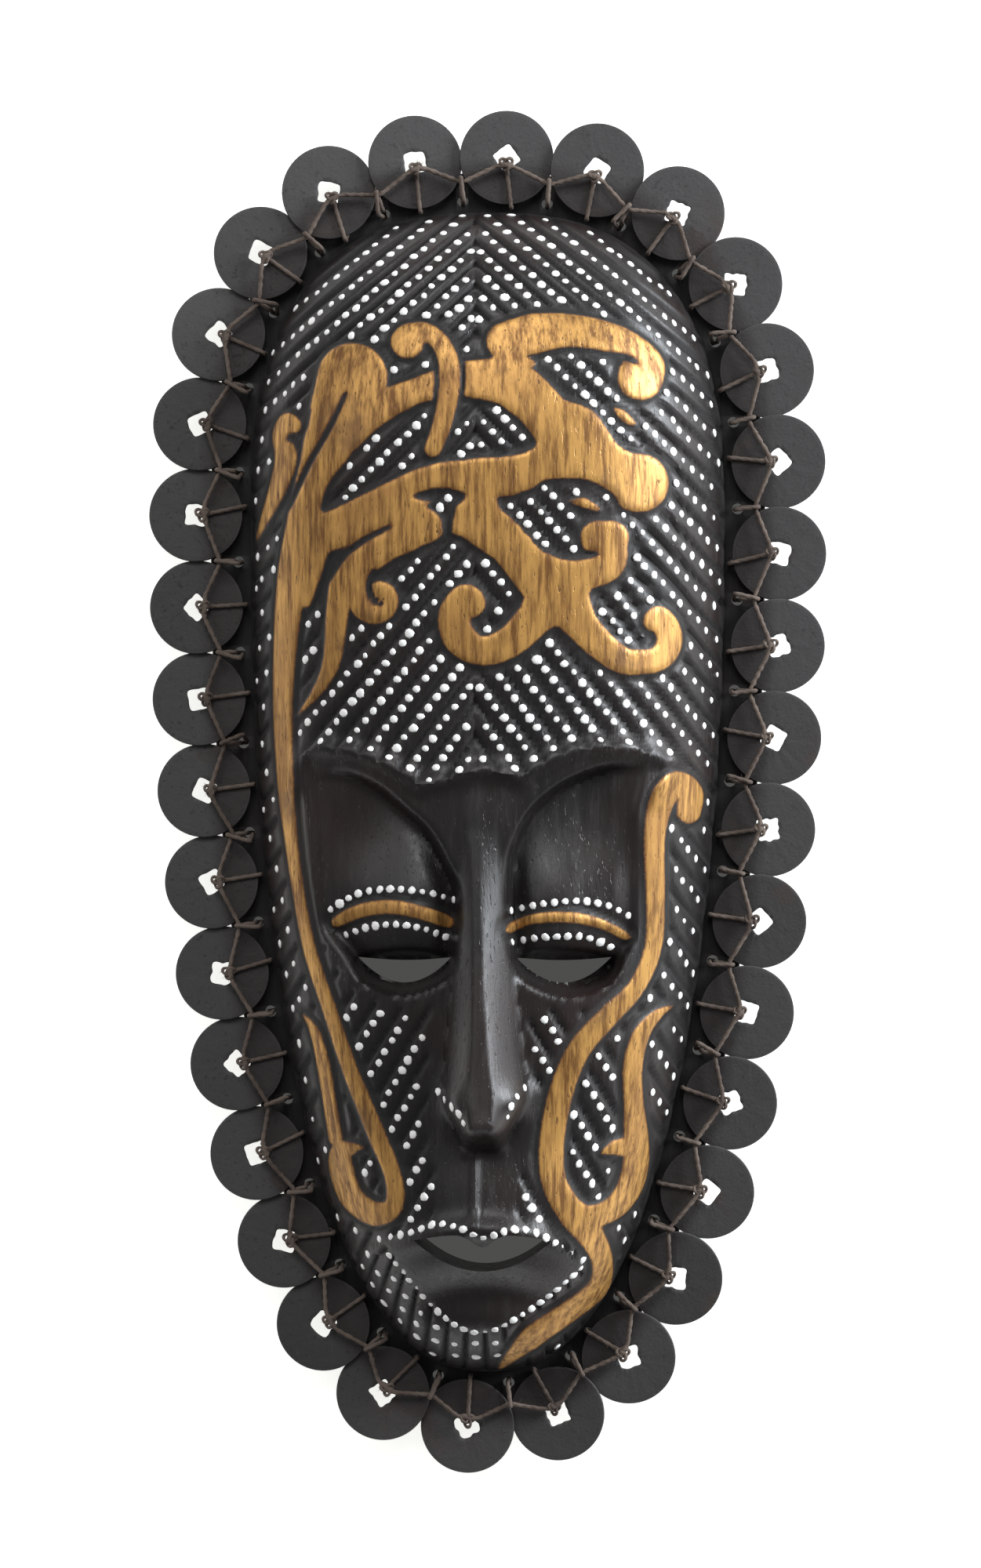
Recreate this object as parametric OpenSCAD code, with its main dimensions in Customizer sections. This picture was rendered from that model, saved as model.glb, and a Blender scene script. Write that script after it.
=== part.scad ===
// Carved wall mask with a fringe of holed coins lashed round its rim.
// Millimetres. +Z is up, -Y is the way the face looks, and +Y goes into the wall.
// The origin is the mouth of the hanging hole in the back of the crown, in the plane of the wall.

/* [Outline] */
// Half the width of the carved face at its widest
half_w = 61; // [50:1:75]
// Height from the widest line up to the crown
crown_h = 78; // [65:1:95]
// Height from the widest line down to the chin
jaw_h = 219; // [185:1:260]

/* [Depth] */
// Depth of the plain dome in front of the wall
dome_d = 45; // [40:1:50]
// Height of the nose above the dome
nose_h = 16; // [8:1:20]
// How far the mouth stands proud of the dome
muzzle_h = 9; // [4:1:12]
// Thickness of the carved shell
shell_t = 9; // [7:0.5:11]

/* [Rim] */
// Width of the thin ledge that carries the coins
ledge_w = 10; // [10:0.5:11]
// Thickness of the ledge
ledge_t = 3; // [2.5:0.5:4]
// Gap between the ledge and the wall, where the twine runs
ledge_gap = 1.6; // [1.5:0.1:2]

/* [Coins] */
// Number of coins round the rim
coin_count = 34; // [33:1:34]
// Diameter of a coin
coin_d = 24; // [22:0.5:24]
// Thickness of a coin
coin_t = 1.2; // [0.8:0.1:1.3]
// Side of the square hole in a coin
coin_hole = 5.6; // [5:0.2:6.5]
// Lean of each coin over its neighbour, in degrees
coin_lean = 3.8; // [3.6:0.1:4.2]

/* [Twine] */
// Diameter of the lashing twine
twine_d = 1; // [0.8:0.1:1.1]
// Diameter of the knot at each coin's hole
knot_d = 2.6; // [2:0.2:3]

/* [Hanging hole] */
// Diameter of the blind hole in the back of the crown that takes a wall peg
peg_hole_d = 6; // [5:0.2:7]
// Depth of that hole
peg_hole_deep = 10; // [8:0.5:12]

/* [Hidden] */

// The face is drawn flat, with X right, Y up and Z towards the viewer, and is then stood up.
belt_y = 70;                   // height of the widest line above the middle of the mask
hang_y = 139;                  // height of the hanging hole above the middle of the mask
crown_pow = 2.6;               // roundness of the outline above the widest line
jaw_pow_x = 2.4;               // roundness of the outline's sides below it
jaw_pow_y = 2.2;               // roundness of the outline's chin
ring_out = 13.5;               // from the face's wall out to the ring of coin centres
ledge_top = ledge_gap + ledge_t;
coin_lift = ledge_top + twine_d + 0.4 + coin_t / 2 + coin_d / 2 * sin(coin_lean);
coin_top = coin_lift + coin_t / 2;
twine_sides = 8;
crown_wall = 20;               // thickness of the rim at the crown, where the hanging hole is
chin_wall = 14;                // thickness of the rim at the chin
section_pow = 2.5;             // how squarely the dome's cross-section falls to its sides
section_root = 2.1;
profile_root = 2.2;            // how fast the dome's middle line rises from each end
chin_pow = 6;                  // how far down the middle line keeps its depth
hollow_chin_pow = 5;           // the same for the hollow behind

function coin_name(i) = str("coin_", i < 10 ? "0" : "", i);
function signed_pow(v, e) = sign(v) * pow(abs(v), e);
function clamp01(v) = min(1, max(0, v));
function smooth(a, b, v) = let(t = clamp01((v - a) / (b - a))) t * t * (3 - 2 * t);
function bell(v, w) = exp(-pow(v / w, 2));

// An egg-shaped outline: u is 0 at the right, 90 at the crown and 270 at the chin.
function egg(u, w, up, down) =
    let(c = cos(u), s = sin(u))
    s >= 0
    ? [w * signed_pow(c, 2 / crown_pow), belt_y + up * pow(s, 2 / crown_pow)]
    : [w * signed_pow(c, 2 / jaw_pow_x), belt_y - down * pow(-s, 2 / jaw_pow_y)];
function outline(u) = egg(u, half_w, crown_h, jaw_h);
// Unit directions along the outline, clockwise, and out from it; and a line a given way outside it.
function tangent_at(u) = let(d = outline(u - 1) - outline(u + 1)) d / norm(d);
function outward_at(u) = let(t = tangent_at(u)) [-t[1], t[0]];
function rim_line(u, out) = outline(u) + out * outward_at(u);
function hollow_line(u) = egg(u, half_w - shell_t, crown_h - crown_wall, jaw_h - chin_wall);

// Equal steps along the ring of coin centres, from a table of its length against u.
trace_steps = 720;
trace = [for (i = [0:trace_steps]) rim_line(i * 360 / trace_steps, ring_out)];
function trace_step(i) = i < trace_steps ? norm(trace[i + 1] - trace[i]) : 0;
trace_length = [
    for (i = 0, s = 0; i <= trace_steps; s = s + trace_step(i), i = i + 1)
        [s, i * 360 / trace_steps]
];
ring_length = trace_length[trace_steps][0];
function u_at(s) = lookup(s - ring_length * floor(s / ring_length), trace_length);
crown_s = lookup(90, [for (p = trace_length) [p[1], p[0]]]);
first_coin_shift = 5;          // the first coin sits a little to the right of the crown
// Place of the coin with number i, counted clockwise from the crown; half numbers fall between coins.
function coin_u(i) = u_at(crown_s - first_coin_shift - (i - 1) * ring_length / coin_count);

// Depth of the plain dome, from the outline's half-width and the middle line's profile.
function share_up(y) = clamp01(abs(y - belt_y) / (y >= belt_y ? crown_h : jaw_h));
function side_share(t, up) =
    up ? pow(1 - pow(t, crown_pow), 1 / crown_pow) : pow(1 - pow(t, jaw_pow_y), 1 / jaw_pow_x);
function width_at(y) = half_w * side_share(share_up(y), y >= belt_y);
function profile_at(y) =
    let(t = share_up(y))
    dome_d * pow(1 - pow(t, y >= belt_y ? crown_pow : chin_pow), 1 / profile_root);
function dome(x, y) =
    let(w = max(width_at(y), 0.001))
    profile_at(y) * pow(1 - pow(clamp01(abs(x) / w), section_pow), 1 / section_root);

// Carved features that stand out of the dome or are cut into it.
eye_x = 20;                    // distance of each eye from the middle line
eye_y = -41.5;                 // height of the eyes' corners
eye_half = 12;                 // half the width of an eye's opening
eye_top_sag = 0.8;             // how far its top edge and its bottom edge hang below its corners
eye_low_sag = 6.5;
socket_x = 24;                 // middle of each eye socket, and half its width and height
socket_y = -25;
socket_half_w = 23;
socket_half_h = 29;
mouth_y = -109;                // height of the upper lip's two peaks
mouth_half = 17;               // half the width of the mouth's opening
mouth_drop = 8;                // how far its bottom edge hangs below its corners
nose_root = -14;               // heights where the nose starts, stands highest and ends
nose_tip = -81;
nose_end = -88;
function nose(x, y) =
    let(
        t = clamp01((nose_root - y) / (nose_root - nose_tip)),
        half = 6.2 + 8.8 * pow(t, 1.6),
        ends = smooth(nose_root + 18, nose_root - 4, y) * smooth(nose_end, nose_tip, y),
        ridge = nose_h * (0.2 + 0.8 * pow(t, 1.1)) * pow(clamp01(1 - pow(abs(x) / half, 1.6)), 1.2),
        wings = 3 * bell(abs(x) - 8.5, 3.4) * bell(y - nose_tip - 4, 5)
    )
    ridge * ends + wings;
function brow_line(x) = 2 + 0.004 * x * x;
function brow(x, y) = 2.5 * bell(y - brow_line(x), 5) * bell(abs(x) - 24, 22);
function socket(x, y) =
    let(r = sqrt(pow((abs(x) - socket_x) / socket_half_w, 2) + pow((y - socket_y) / socket_half_h, 2)))
    (1 - smooth(0.7, 1.1, r)) * (-5 + 5 * bell(abs(x) - eye_x, 15) * bell(y - socket_y + 4, 15));
function muzzle(x, y) = muzzle_h * bell(x, 27) * bell(y - mouth_y + 5, 21);
function lips(x, y) =
    2.2 * bell(x, 22) * (bell(y - mouth_y - 3.5, 3) + bell(y - mouth_y + 14 - 0.02 * x * x, 4));
function face_z(x, y) =
    let(d = dome(x, y), near_wall = smooth(0, 12, d))
    max(ledge_top, d + near_wall * (nose(x, y) + brow(x, y) + socket(x, y) + muzzle(x, y) + lips(x, y)));

function hollow_z(x, y) =
    let(
        up = y >= belt_y,
        t = clamp01(abs(y - belt_y) / (up ? crown_h - crown_wall : jaw_h - chin_wall)),
        w = max(0.001, (half_w - shell_t) * side_share(t, up))
    )
    (dome_d - shell_t - 1) * sqrt(1 - pow(t, up ? crown_pow : hollow_chin_pow))
    * sqrt(1 - pow(clamp01(abs(x) / w), section_pow));

// The body's skin: a front sheet and a hollow sheet, each of rows across the mask, joined by rings.
rows = 60;
front_cols = 40;
hollow_cols = 14;
ring_n = 2 * rows + 2;         // a ring's points: crown, right side downwards, chin, left side upwards
face_at = 0.7;                 // where the rows lie closest, as a share of the way from crown to chin
row_bunch = 0.07;
function row_share(f) = f - row_bunch * (sin(360 * (f - face_at)) + sin(360 * face_at));
row_u = [for (k = [1:rows]) u_at(crown_s - row_share(k / (rows + 1)) * ring_length / 2)];
function ring_of(line, z) =
    let(
        right = [for (u = row_u) line(u)],
        left = [for (k = [rows - 1:-1:0]) [-right[k][0], right[k][1]]]
    )
    [for (p = concat([line(90)], right, [line(270)], left)) [p[0], p[1], z]];
function sheet_of(line, cols, height) =
    [for (u = row_u) for (j = [1:cols - 1])
        let(p = line(u), x = p[0] * sin(180 * j / cols - 90))
        [x, p[1], height(x, p[1])]];
// Number of a sheet's point in row k and column j; its first and last columns lie on a ring.
function sheet_point(k, j, cols, ring_first, first) =
    j == 0 ? ring_first + ring_n - 1 - k : j == cols ? ring_first + 1 + k : first + k * (cols - 1) + j - 1;
function sheet_faces(cols, ring_first, first) = concat(
    [for (k = [0:rows - 2]) for (j = [0:cols - 1]) for (half = [0, 1])
        let(
            a = sheet_point(k, j, cols, ring_first, first),
            b = sheet_point(k, j + 1, cols, ring_first, first),
            c = sheet_point(k + 1, j + 1, cols, ring_first, first),
            d = sheet_point(k + 1, j, cols, ring_first, first)
        )
        half == 0 ? [a, b, c] : [a, c, d]],
    [for (j = [0:cols - 1])
        let(
            a = sheet_point(0, j, cols, ring_first, first),
            b = sheet_point(0, j + 1, cols, ring_first, first)
        )
        [ring_first, b, a]],
    [for (j = [0:cols - 1])
        let(
            a = sheet_point(rows - 1, j, cols, ring_first, first),
            b = sheet_point(rows - 1, j + 1, cols, ring_first, first)
        )
        [a, b, ring_first + rows + 1]]
);
function band_faces(ring_first) = [
    for (i = [0:ring_n - 1]) for (half = [0, 1])
        let(
            a = ring_first + i,
            a2 = ring_first + (i + 1) % ring_n,
            b = a + ring_n,
            b2 = a2 + ring_n
        )
        half == 0 ? [b, b2, a2] : [b, a2, a]
];
function turned(faces) = [for (f = faces) [f[0], f[2], f[1]]];
wall_line = function(u) outline(u);
ledge_line = function(u) rim_line(u, ledge_w);
inner_line = function(u) hollow_line(u);
body_rings = [
    ring_of(wall_line, ledge_top),
    ring_of(ledge_line, ledge_top),
    ring_of(ledge_line, ledge_gap),
    ring_of(wall_line, ledge_gap),
    ring_of(wall_line, 0),
    ring_of(inner_line, 0)
];
module body_skin() {
    last_ring = len(body_rings) - 1;
    front_first = len(body_rings) * ring_n;
    hollow_first = front_first + rows * (front_cols - 1);
    polyhedron(
        concat(
            [for (r = body_rings) for (p = r) p],
            sheet_of(wall_line, front_cols, function(x, y) face_z(x, y)),
            sheet_of(inner_line, hollow_cols, function(x, y) hollow_z(x, y))
        ),
        concat(
            sheet_faces(front_cols, 0, front_first),
            [for (i = [0:last_ring - 1]) for (f = band_faces(i * ring_n)) f],
            turned(sheet_faces(hollow_cols, last_ring * ring_n, hollow_first))
        )
    );
}

// Stands the flat drawing up against the wall, with the hanging hole at the origin.
module stand_up() translate([0, 0, -hang_y]) rotate([90, 0, 0]) children();

// A crescent between two shallow arcs, its ends on the X axis.
module crescent(half, top_sag, low_sag) {
    steps = 10;
    edge = [for (i = [-steps:steps]) i / steps];
    polygon(concat(
        [for (t = edge) [half * t, -top_sag * (1 - t * t)]],
        [for (i = [len(edge) - 2:-1:1]) let(t = edge[i]) [half * t, -low_sag * (1 - t * t)]]
    ));
}

// The mouth: a top edge with two peaks and a dip, over one deep arc.
function lip_top(x) = mouth_y - 3.6 * bell(x, 3.6) - 0.008 * x * x;
module mouth_shape() {
    steps = 12;
    edge = [for (i = [-steps:steps]) mouth_half * i / steps];
    polygon(concat(
        [for (x = edge) [x, lip_top(x)]],
        [for (i = [len(edge) - 2:-1:1])
            let(x = edge[i]) [x, lip_top(mouth_half) - mouth_drop * (1 - pow(x / mouth_half, 2))]]
    ));
}

lash_hole_d = twine_d + 0.6;
coin_lash_at = 3.6;            // lash holes under the coins, from the face's wall
junction_lash_at = 3;          // lash holes between coins, from the face's wall

pair_spread = 1.4;             // between the two strands of a junction stitch, which share a hole

module lash_hole(i, at, d) {
    p = rim_line(coin_u(i), at);
    translate([p[0], p[1], 0]) cylinder(d = d, h = ledge_top + 0.4, $fn = 24);
}

module mask_body() color("#2b2422") stand_up() difference() {
    body_skin();
    for (side = [-1, 1])
        translate([side * eye_x, eye_y, 10]) linear_extrude(60) crescent(eye_half, eye_top_sag, eye_low_sag);
    translate([0, 0, 8]) linear_extrude(70) mouth_shape();
    for (i = [1:coin_count]) {
        lash_hole(i, coin_lash_at, lash_hole_d);
        lash_hole(i + 0.5, junction_lash_at, lash_hole_d + pair_spread);
    }
    translate([0, hang_y, -1]) cylinder(d = peg_hole_d, h = peg_hole_deep + 1, $fn = 48);
}

// One coin, numbered clockwise from the crown, leaning on the next one.
module rim_coin(i) color("#3a3a39") stand_up() {
    u = coin_u(i);
    p = rim_line(u, ring_out);
    t = tangent_at(u);
    translate([p[0], p[1], coin_lift]) rotate([0, 0, atan2(t[1], t[0])]) rotate([0, coin_lean, 0])
        difference() {
            cylinder(d = coin_d, h = coin_t, center = true, $fn = 96);
            rotate([0, 0, (i * 37) % 90]) cube([coin_hole, coin_hole, 3 * coin_t], center = true);
        }
}

// Closed tubes: each path is a loop of [x, y, z, radius], and all the loops are one skin.
// Every path has a direction that its tube's rings are turned by, so that they don't twist.
function spot(p) = [p[0], p[1], p[2]];
function ring_on(path, k, turn) =
    let(
        n = len(path),
        along = spot(path[(k + 1) % n]) - spot(path[(k + n - 1) % n]),
        across = cross(along, turn) / norm(cross(along, turn)),
        up = cross(along, across) / norm(along)
    )
    [for (j = [0:twine_sides - 1])
        let(w = 360 * j / twine_sides)
        spot(path[k]) + path[k][3] * (cos(w) * across + sin(w) * up)];

module closed_tubes(paths, turns) {
    n = twine_sides;
    rings = [for (i = [0:len(paths) - 1]) for (k = [0:len(paths[i]) - 1]) ring_on(paths[i], k, turns[i])];
    lengths = [for (path = paths) len(path)];
    firsts = [for (i = 0, s = 0; i < len(paths); s = s + lengths[i], i = i + 1) s];
    quads = [for (i = [0:len(paths) - 1]) for (k = [0:lengths[i] - 1]) for (j = [0:n - 1])
        let(
            a = (firsts[i] + k) * n,
            b = (firsts[i] + (k + 1) % lengths[i]) * n,
            j2 = (j + 1) % n
        )
        [b + j, b + j2, a + j2, a + j]];
    polyhedron([for (r = rings) for (p = r) p], quads);
}

// A point in the radial plane of coin number i: `at` out from the face's wall, z above the wall plane.
function rim_point(i, at, z, along = 0, r = twine_d / 2) =
    let(u = coin_u(i), p = rim_line(u, at) + along * tangent_at(u))
    [p[0], p[1], z, r];
function along_at(i) = let(t = tangent_at(coin_u(i))) [t[0], t[1], 0];
clear = 0.2;
reach = twine_d / 2 + clear;   // from a surface to the middle of the twine beside it
over_coin = coin_top + reach;
coin_edge = ring_out - coin_d / 2;
hole_edge = ring_out - coin_hole / 2;
behind = ledge_gap - reach;

// The loop that ties coin i down: over its inner half, round its edge, behind the ledge and up its hole.
function coin_loop(i) = [
    rim_point(i, hole_edge + reach, coin_lift),
    rim_point(i, hole_edge + reach, over_coin),
    rim_point(i, coin_edge - reach, over_coin),
    rim_point(i, coin_edge - reach, ledge_top + reach),
    rim_point(i, coin_lash_at, ledge_top + reach),
    rim_point(i, coin_lash_at, behind),
    rim_point(i, ledge_w + reach, behind),
    rim_point(i, ledge_w + reach, ledge_top)
];

// The running twine lies over both coins of a pair; between them it swings in towards the face.
over_pair = coin_top + coin_d / 2 * sin(coin_lean) + reach;
strand_gap = twine_d + clear;  // between the middles of two strands that cross
running_z = over_pair + strand_gap;
swing = 3.8;                   // how far in from the coins' holes it swings

// The loop between two coins: up through the ledge, under the running twine, back over it and down.
function junction_loop(i) = [
    rim_point(i, junction_lash_at + pair_spread / 2, behind),
    rim_point(i, junction_lash_at + pair_spread / 2, over_pair),
    rim_point(i, hole_edge - swing + strand_gap, over_pair),
    rim_point(i, hole_edge - swing + strand_gap, running_z + strand_gap),
    rim_point(i, junction_lash_at - pair_spread / 2, running_z + strand_gap),
    rim_point(i, junction_lash_at - pair_spread / 2, behind)
];

// The twine that zigzags from hole to hole in front of the stitches, with a knot at each hole.
function running_part(i) = [
    rim_point(i, hole_edge - 0.2, running_z, 0, knot_d / 2),
    rim_point(i, hole_edge - 0.6, running_z, 2.4),
    rim_point(i + 0.5, hole_edge - swing, running_z),
    rim_point(i + 1, hole_edge - 0.6, running_z, -2.4)
];

module coin_stitches() color("#3b2f2a") stand_up()
    closed_tubes([for (i = [1:coin_count]) coin_loop(i)], [for (i = [1:coin_count]) along_at(i)]);

module junction_stitches() color("#3b2f2a") stand_up()
    closed_tubes(
        [for (i = [1:coin_count]) junction_loop(i + 0.5)],
        [for (i = [1:coin_count]) along_at(i + 0.5)]
    );

module running_twine() color("#463833") stand_up()
    closed_tubes([[for (i = [1:coin_count]) for (p = running_part(i)) p]], [[0, 0, 1]]);

mask_body();
for (i = [1:coin_count]) rim_coin(i);
coin_stitches();
junction_stitches();
running_twine();
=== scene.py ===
import math

import bpy
import numpy as np
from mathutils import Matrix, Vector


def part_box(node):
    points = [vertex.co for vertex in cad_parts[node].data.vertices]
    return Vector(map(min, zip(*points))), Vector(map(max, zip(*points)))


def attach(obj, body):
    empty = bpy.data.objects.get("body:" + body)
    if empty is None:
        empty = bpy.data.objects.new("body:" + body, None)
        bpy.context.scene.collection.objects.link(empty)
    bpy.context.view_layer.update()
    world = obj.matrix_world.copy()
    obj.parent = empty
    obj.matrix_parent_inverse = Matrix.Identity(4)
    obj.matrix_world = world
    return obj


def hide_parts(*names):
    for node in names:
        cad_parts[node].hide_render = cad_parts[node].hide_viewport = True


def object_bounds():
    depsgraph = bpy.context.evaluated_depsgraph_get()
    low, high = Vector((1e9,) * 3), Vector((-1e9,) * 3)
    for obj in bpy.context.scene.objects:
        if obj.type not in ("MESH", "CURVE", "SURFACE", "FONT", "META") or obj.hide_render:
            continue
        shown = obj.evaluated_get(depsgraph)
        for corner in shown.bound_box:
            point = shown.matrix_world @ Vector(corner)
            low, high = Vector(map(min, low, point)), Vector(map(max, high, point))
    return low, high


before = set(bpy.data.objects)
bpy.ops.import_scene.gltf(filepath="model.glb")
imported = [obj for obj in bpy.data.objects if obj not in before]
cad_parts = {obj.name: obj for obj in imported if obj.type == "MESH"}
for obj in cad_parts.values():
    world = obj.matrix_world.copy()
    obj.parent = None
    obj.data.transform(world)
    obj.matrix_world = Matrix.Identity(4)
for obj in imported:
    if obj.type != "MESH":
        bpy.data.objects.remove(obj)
cad_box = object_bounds()

# Studio: a camera about a metre in front and a little to the right, turned to the mask, the
# pale wall that the mask hangs on, and soft lamps, the strongest high on the right.
mid_z = (cad_box[0][2] + cad_box[1][2]) / 2
camera_far, camera_side, board_out = 1.1, 0.035, 0.008
aim_x, aim_z = 0.0009, mid_z + 0.002
camera_data = bpy.data.cameras.new("camera")
camera_data.sensor_fit = "VERTICAL"
camera_data.sensor_height = 24.0
camera_data.lens = 24.0 * (camera_far - board_out) / 0.400
camera = bpy.data.objects.new("camera", camera_data)
camera.location = (camera_side, -camera_far, aim_z)
camera.rotation_euler = (math.pi / 2, 0.0, math.atan2(camera_side - aim_x, camera_far - board_out))
bpy.context.collection.objects.link(camera)
bpy.context.scene.camera = camera
bpy.context.scene.view_settings.view_transform = "Standard"


def studio_sheet(name, corners, paleness=0.9, glow=0.0):
    """A flat sheet of matt paper, lit a little from within, and clear when seen from its back."""
    mesh = bpy.data.meshes.new(name)
    mesh.from_pydata(corners, [], [tuple(range(len(corners)))])
    sheet = bpy.data.objects.new(name, mesh)
    bpy.context.collection.objects.link(sheet)
    paper = bpy.data.materials.new(name)
    paper.use_nodes = True
    nodes, links = paper.node_tree.nodes, paper.node_tree.links
    shader = nodes["Principled BSDF"]
    shader.inputs["Base Color"].default_value = (paleness, paleness, paleness, 1)
    shader.inputs["Roughness"].default_value = 0.9
    shader.inputs["Emission Color"].default_value = (1, 1, 0.96, 1)
    shader.inputs["Emission Strength"].default_value = glow
    side = nodes.new("ShaderNodeNewGeometry")
    clear = nodes.new("ShaderNodeBsdfTransparent")
    pick = nodes.new("ShaderNodeMixShader")
    links.new(side.outputs["Backfacing"], pick.inputs["Fac"])
    links.new(shader.outputs["BSDF"], pick.inputs[1])
    links.new(clear.outputs["BSDF"], pick.inputs[2])
    links.new(pick.outputs["Shader"], nodes["Material Output"].inputs["Surface"])
    mesh.materials.append(paper)


wall_y, wall_reach, wall_foot = 0.0015, 1.6, mid_z - 0.62
studio_sheet("wall", [(-wall_reach, wall_y, wall_foot), (wall_reach, wall_y, wall_foot),
                      (wall_reach, wall_y, wall_reach), (-wall_reach, wall_y, wall_reach)], glow=0.8)


def soft_lamp(name, place, aim, size, watts, colour=(1.0, 1.0, 1.0)):
    """A square lamp at one point, turned to face another."""
    data = bpy.data.lights.new(name, "AREA")
    data.size, data.energy, data.color = size, watts, colour
    lamp = bpy.data.objects.new(name, data)
    way = np.array(aim) - np.array(place)
    lamp.location = place
    lamp.rotation_euler = (math.atan2(math.hypot(way[0], way[1]), -way[2]), 0.0,
                           math.atan2(-way[0], way[1]) if way[0] or way[1] else 0.0)
    bpy.context.collection.objects.link(lamp)


centre = (0.0, 0.0, mid_z)
soft_lamp("window_right", (1.15, -0.42, mid_z + 0.5), centre, 0.55, 26, (0.9, 0.95, 1.0))
soft_lamp("sky_left", (-0.8, -0.9, mid_z + 0.6), centre, 0.8, 3)
soft_lamp("front_fill", (0.0, -1.3, mid_z + 1.1), centre, 0.8, 11)
soft_lamp("back_fill", (0.3, 1.2, mid_z + 0.5), centre, 1.2, 10)
world = bpy.data.worlds.new("studio")
world.use_nodes = True
world.node_tree.nodes["Background"].inputs["Color"].default_value = (1, 1, 1, 1)
world.node_tree.nodes["Background"].inputs["Strength"].default_value = 0.22
bpy.context.scene.world = world

# Carved wood: one block of soft wood, hollowed behind, with the face, the rows of ridges and the
# scrolls cut in its front and a thin drilled ledge left round its foot. It is lacquered black,
# and the scrolls and eyelids are gilded. Sizes are millimetres, across, up and out of the wall.
half_w, crown_h, jaw_h = 61.0, 78.0, 219.0
belt_y, dome_d, shell_t, ledge_w = 70.0, 45.0, 9.0, 10.0
ledge_low, ledge_top = 1.6, 4.6
crown_wall, chin_wall = 20, 14
crown_pow, jaw_pow_x, jaw_pow_y = 2.6, 2.4, 2.2
section_pow, section_root, profile_root = 2.5, 2.1, 2.2
chin_pow, hollow_chin_pow = 6.0, 5.0
front_columns, front_rows, back_columns, back_rows = 200, 400, 50, 100
hang_y = belt_y + crown_h + ledge_w - 1000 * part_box("mask_body")[1][2]
seam_x = -3.0


def smooth(a, b, v):
    """Rises from 0 at a to 1 at b along an S curve."""
    t = np.clip((v - a) / (b - a), 0, 1)
    return t * t * (3 - 2 * t)


def bell(v, width):
    """A bell curve of height 1, where width is how far out it falls to 1/e."""
    return np.exp(-(v / width) ** 2)


def in_metres(x, y, out):
    """Carver's millimetres (across, up from mid-height, out of the wall) as points of the frame."""
    return np.stack([x, -out, y - hang_y], axis=-1) / 1000


eye_far, eye_side, eye_up, board_level = 1100.0, 35.0, 1.6, 8


def on_board(x, y, out):
    """Where a spot falls on the carver's drawing, a flat board at the coins' level seen from about
    a metre in front and a little to the right: each spot spreads from the eye's line as it rises."""
    spread = (eye_far - board_level) / (eye_far - out)
    return eye_side + (x - eye_side) * spread, eye_up + (y - eye_up) * spread


def egg(angle, width, up, down):
    """Superellipse, rounder at the crown than at the jaw: across and up for an angle round it."""
    c, s = np.cos(angle), np.sin(angle)
    x = width * np.sign(c) * np.abs(c) ** (2 / np.where(s >= 0, crown_pow, jaw_pow_x))
    y = belt_y + np.where(s >= 0, up * np.abs(s) ** (2 / crown_pow), -down * np.abs(s) ** (2 / jaw_pow_y))
    return x, y


def width_at(t, up, widest):
    """Half the egg's width a share t of the way from its widest line to the crown or the chin."""
    return widest * np.where(up, (1 - t ** crown_pow) ** (1 / crown_pow),
                             (1 - t ** jaw_pow_y) ** (1 / jaw_pow_x))


def dome(x, y):
    """The plain dome: the middle line's height, times how a cross-section falls to its sides."""
    up = y >= belt_y
    t = np.clip(np.abs(y - belt_y) / np.where(up, crown_h, jaw_h), 0, 1)
    middle = dome_d * (1 - t ** np.where(up, crown_pow, chin_pow)) ** (1 / profile_root)
    share = np.clip(np.abs(x) / np.maximum(width_at(t, up, half_w), 1e-6), 0, 1)
    return middle * (1 - share ** section_pow) ** (1 / section_root)


def curve_through(points, closed, steps=7):
    """A smooth curve through (x, y) or (x, y, 1) points; a point marked 1 is a sharp corner."""
    spots = np.array([p[:2] for p in points for _ in range(2 if len(p) > 2 else 1)], float)
    if closed:
        before, start, end, after = [np.roll(spots, k, axis=0) for k in (1, 0, -1, -2)]
    else:
        row = np.vstack([spots[:1], spots, spots[-1:]])
        before, start, end, after = row[:-3], row[1:-2], row[2:-1], row[3:]
    t = (np.arange(steps) / steps)[None, :, None]
    before, start, end, after = [q[:, None, :] for q in (before, start, end, after)]
    path = 0.5 * (2 * start + (end - before) * t
                  + (2 * before - 5 * start + 4 * end - after) * t ** 2
                  + (3 * start - before - 3 * end + after) * t ** 3)
    path = path.reshape(-1, 2)
    if not closed:
        path = np.vstack([path, spots[-1:]])
    keep = np.r_[True, np.linalg.norm(np.diff(path, axis=0), axis=1) > 1e-6]
    return path[keep]


def depth_inside(x, y, points):
    """Millimetres inside a closed outline, negative outside it."""
    path = curve_through(points, True)
    nearest = np.full(x.shape, 1e9)
    inside = np.zeros(x.shape, bool)
    for (ax, ay), (bx, by) in zip(path, np.roll(path, -1, axis=0)):
        dx, dy = bx - ax, by - ay
        t = np.clip(((x - ax) * dx + (y - ay) * dy) / (dx * dx + dy * dy + 1e-12), 0, 1)
        nearest = np.minimum(nearest, (x - ax - t * dx) ** 2 + (y - ay - t * dy) ** 2)
        if ay != by:
            inside ^= ((ay > y) != (by > y)) & (x < ax + (y - ay) * dx / dy)
    return np.where(inside, 1, -1) * np.sqrt(nearest)


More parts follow.
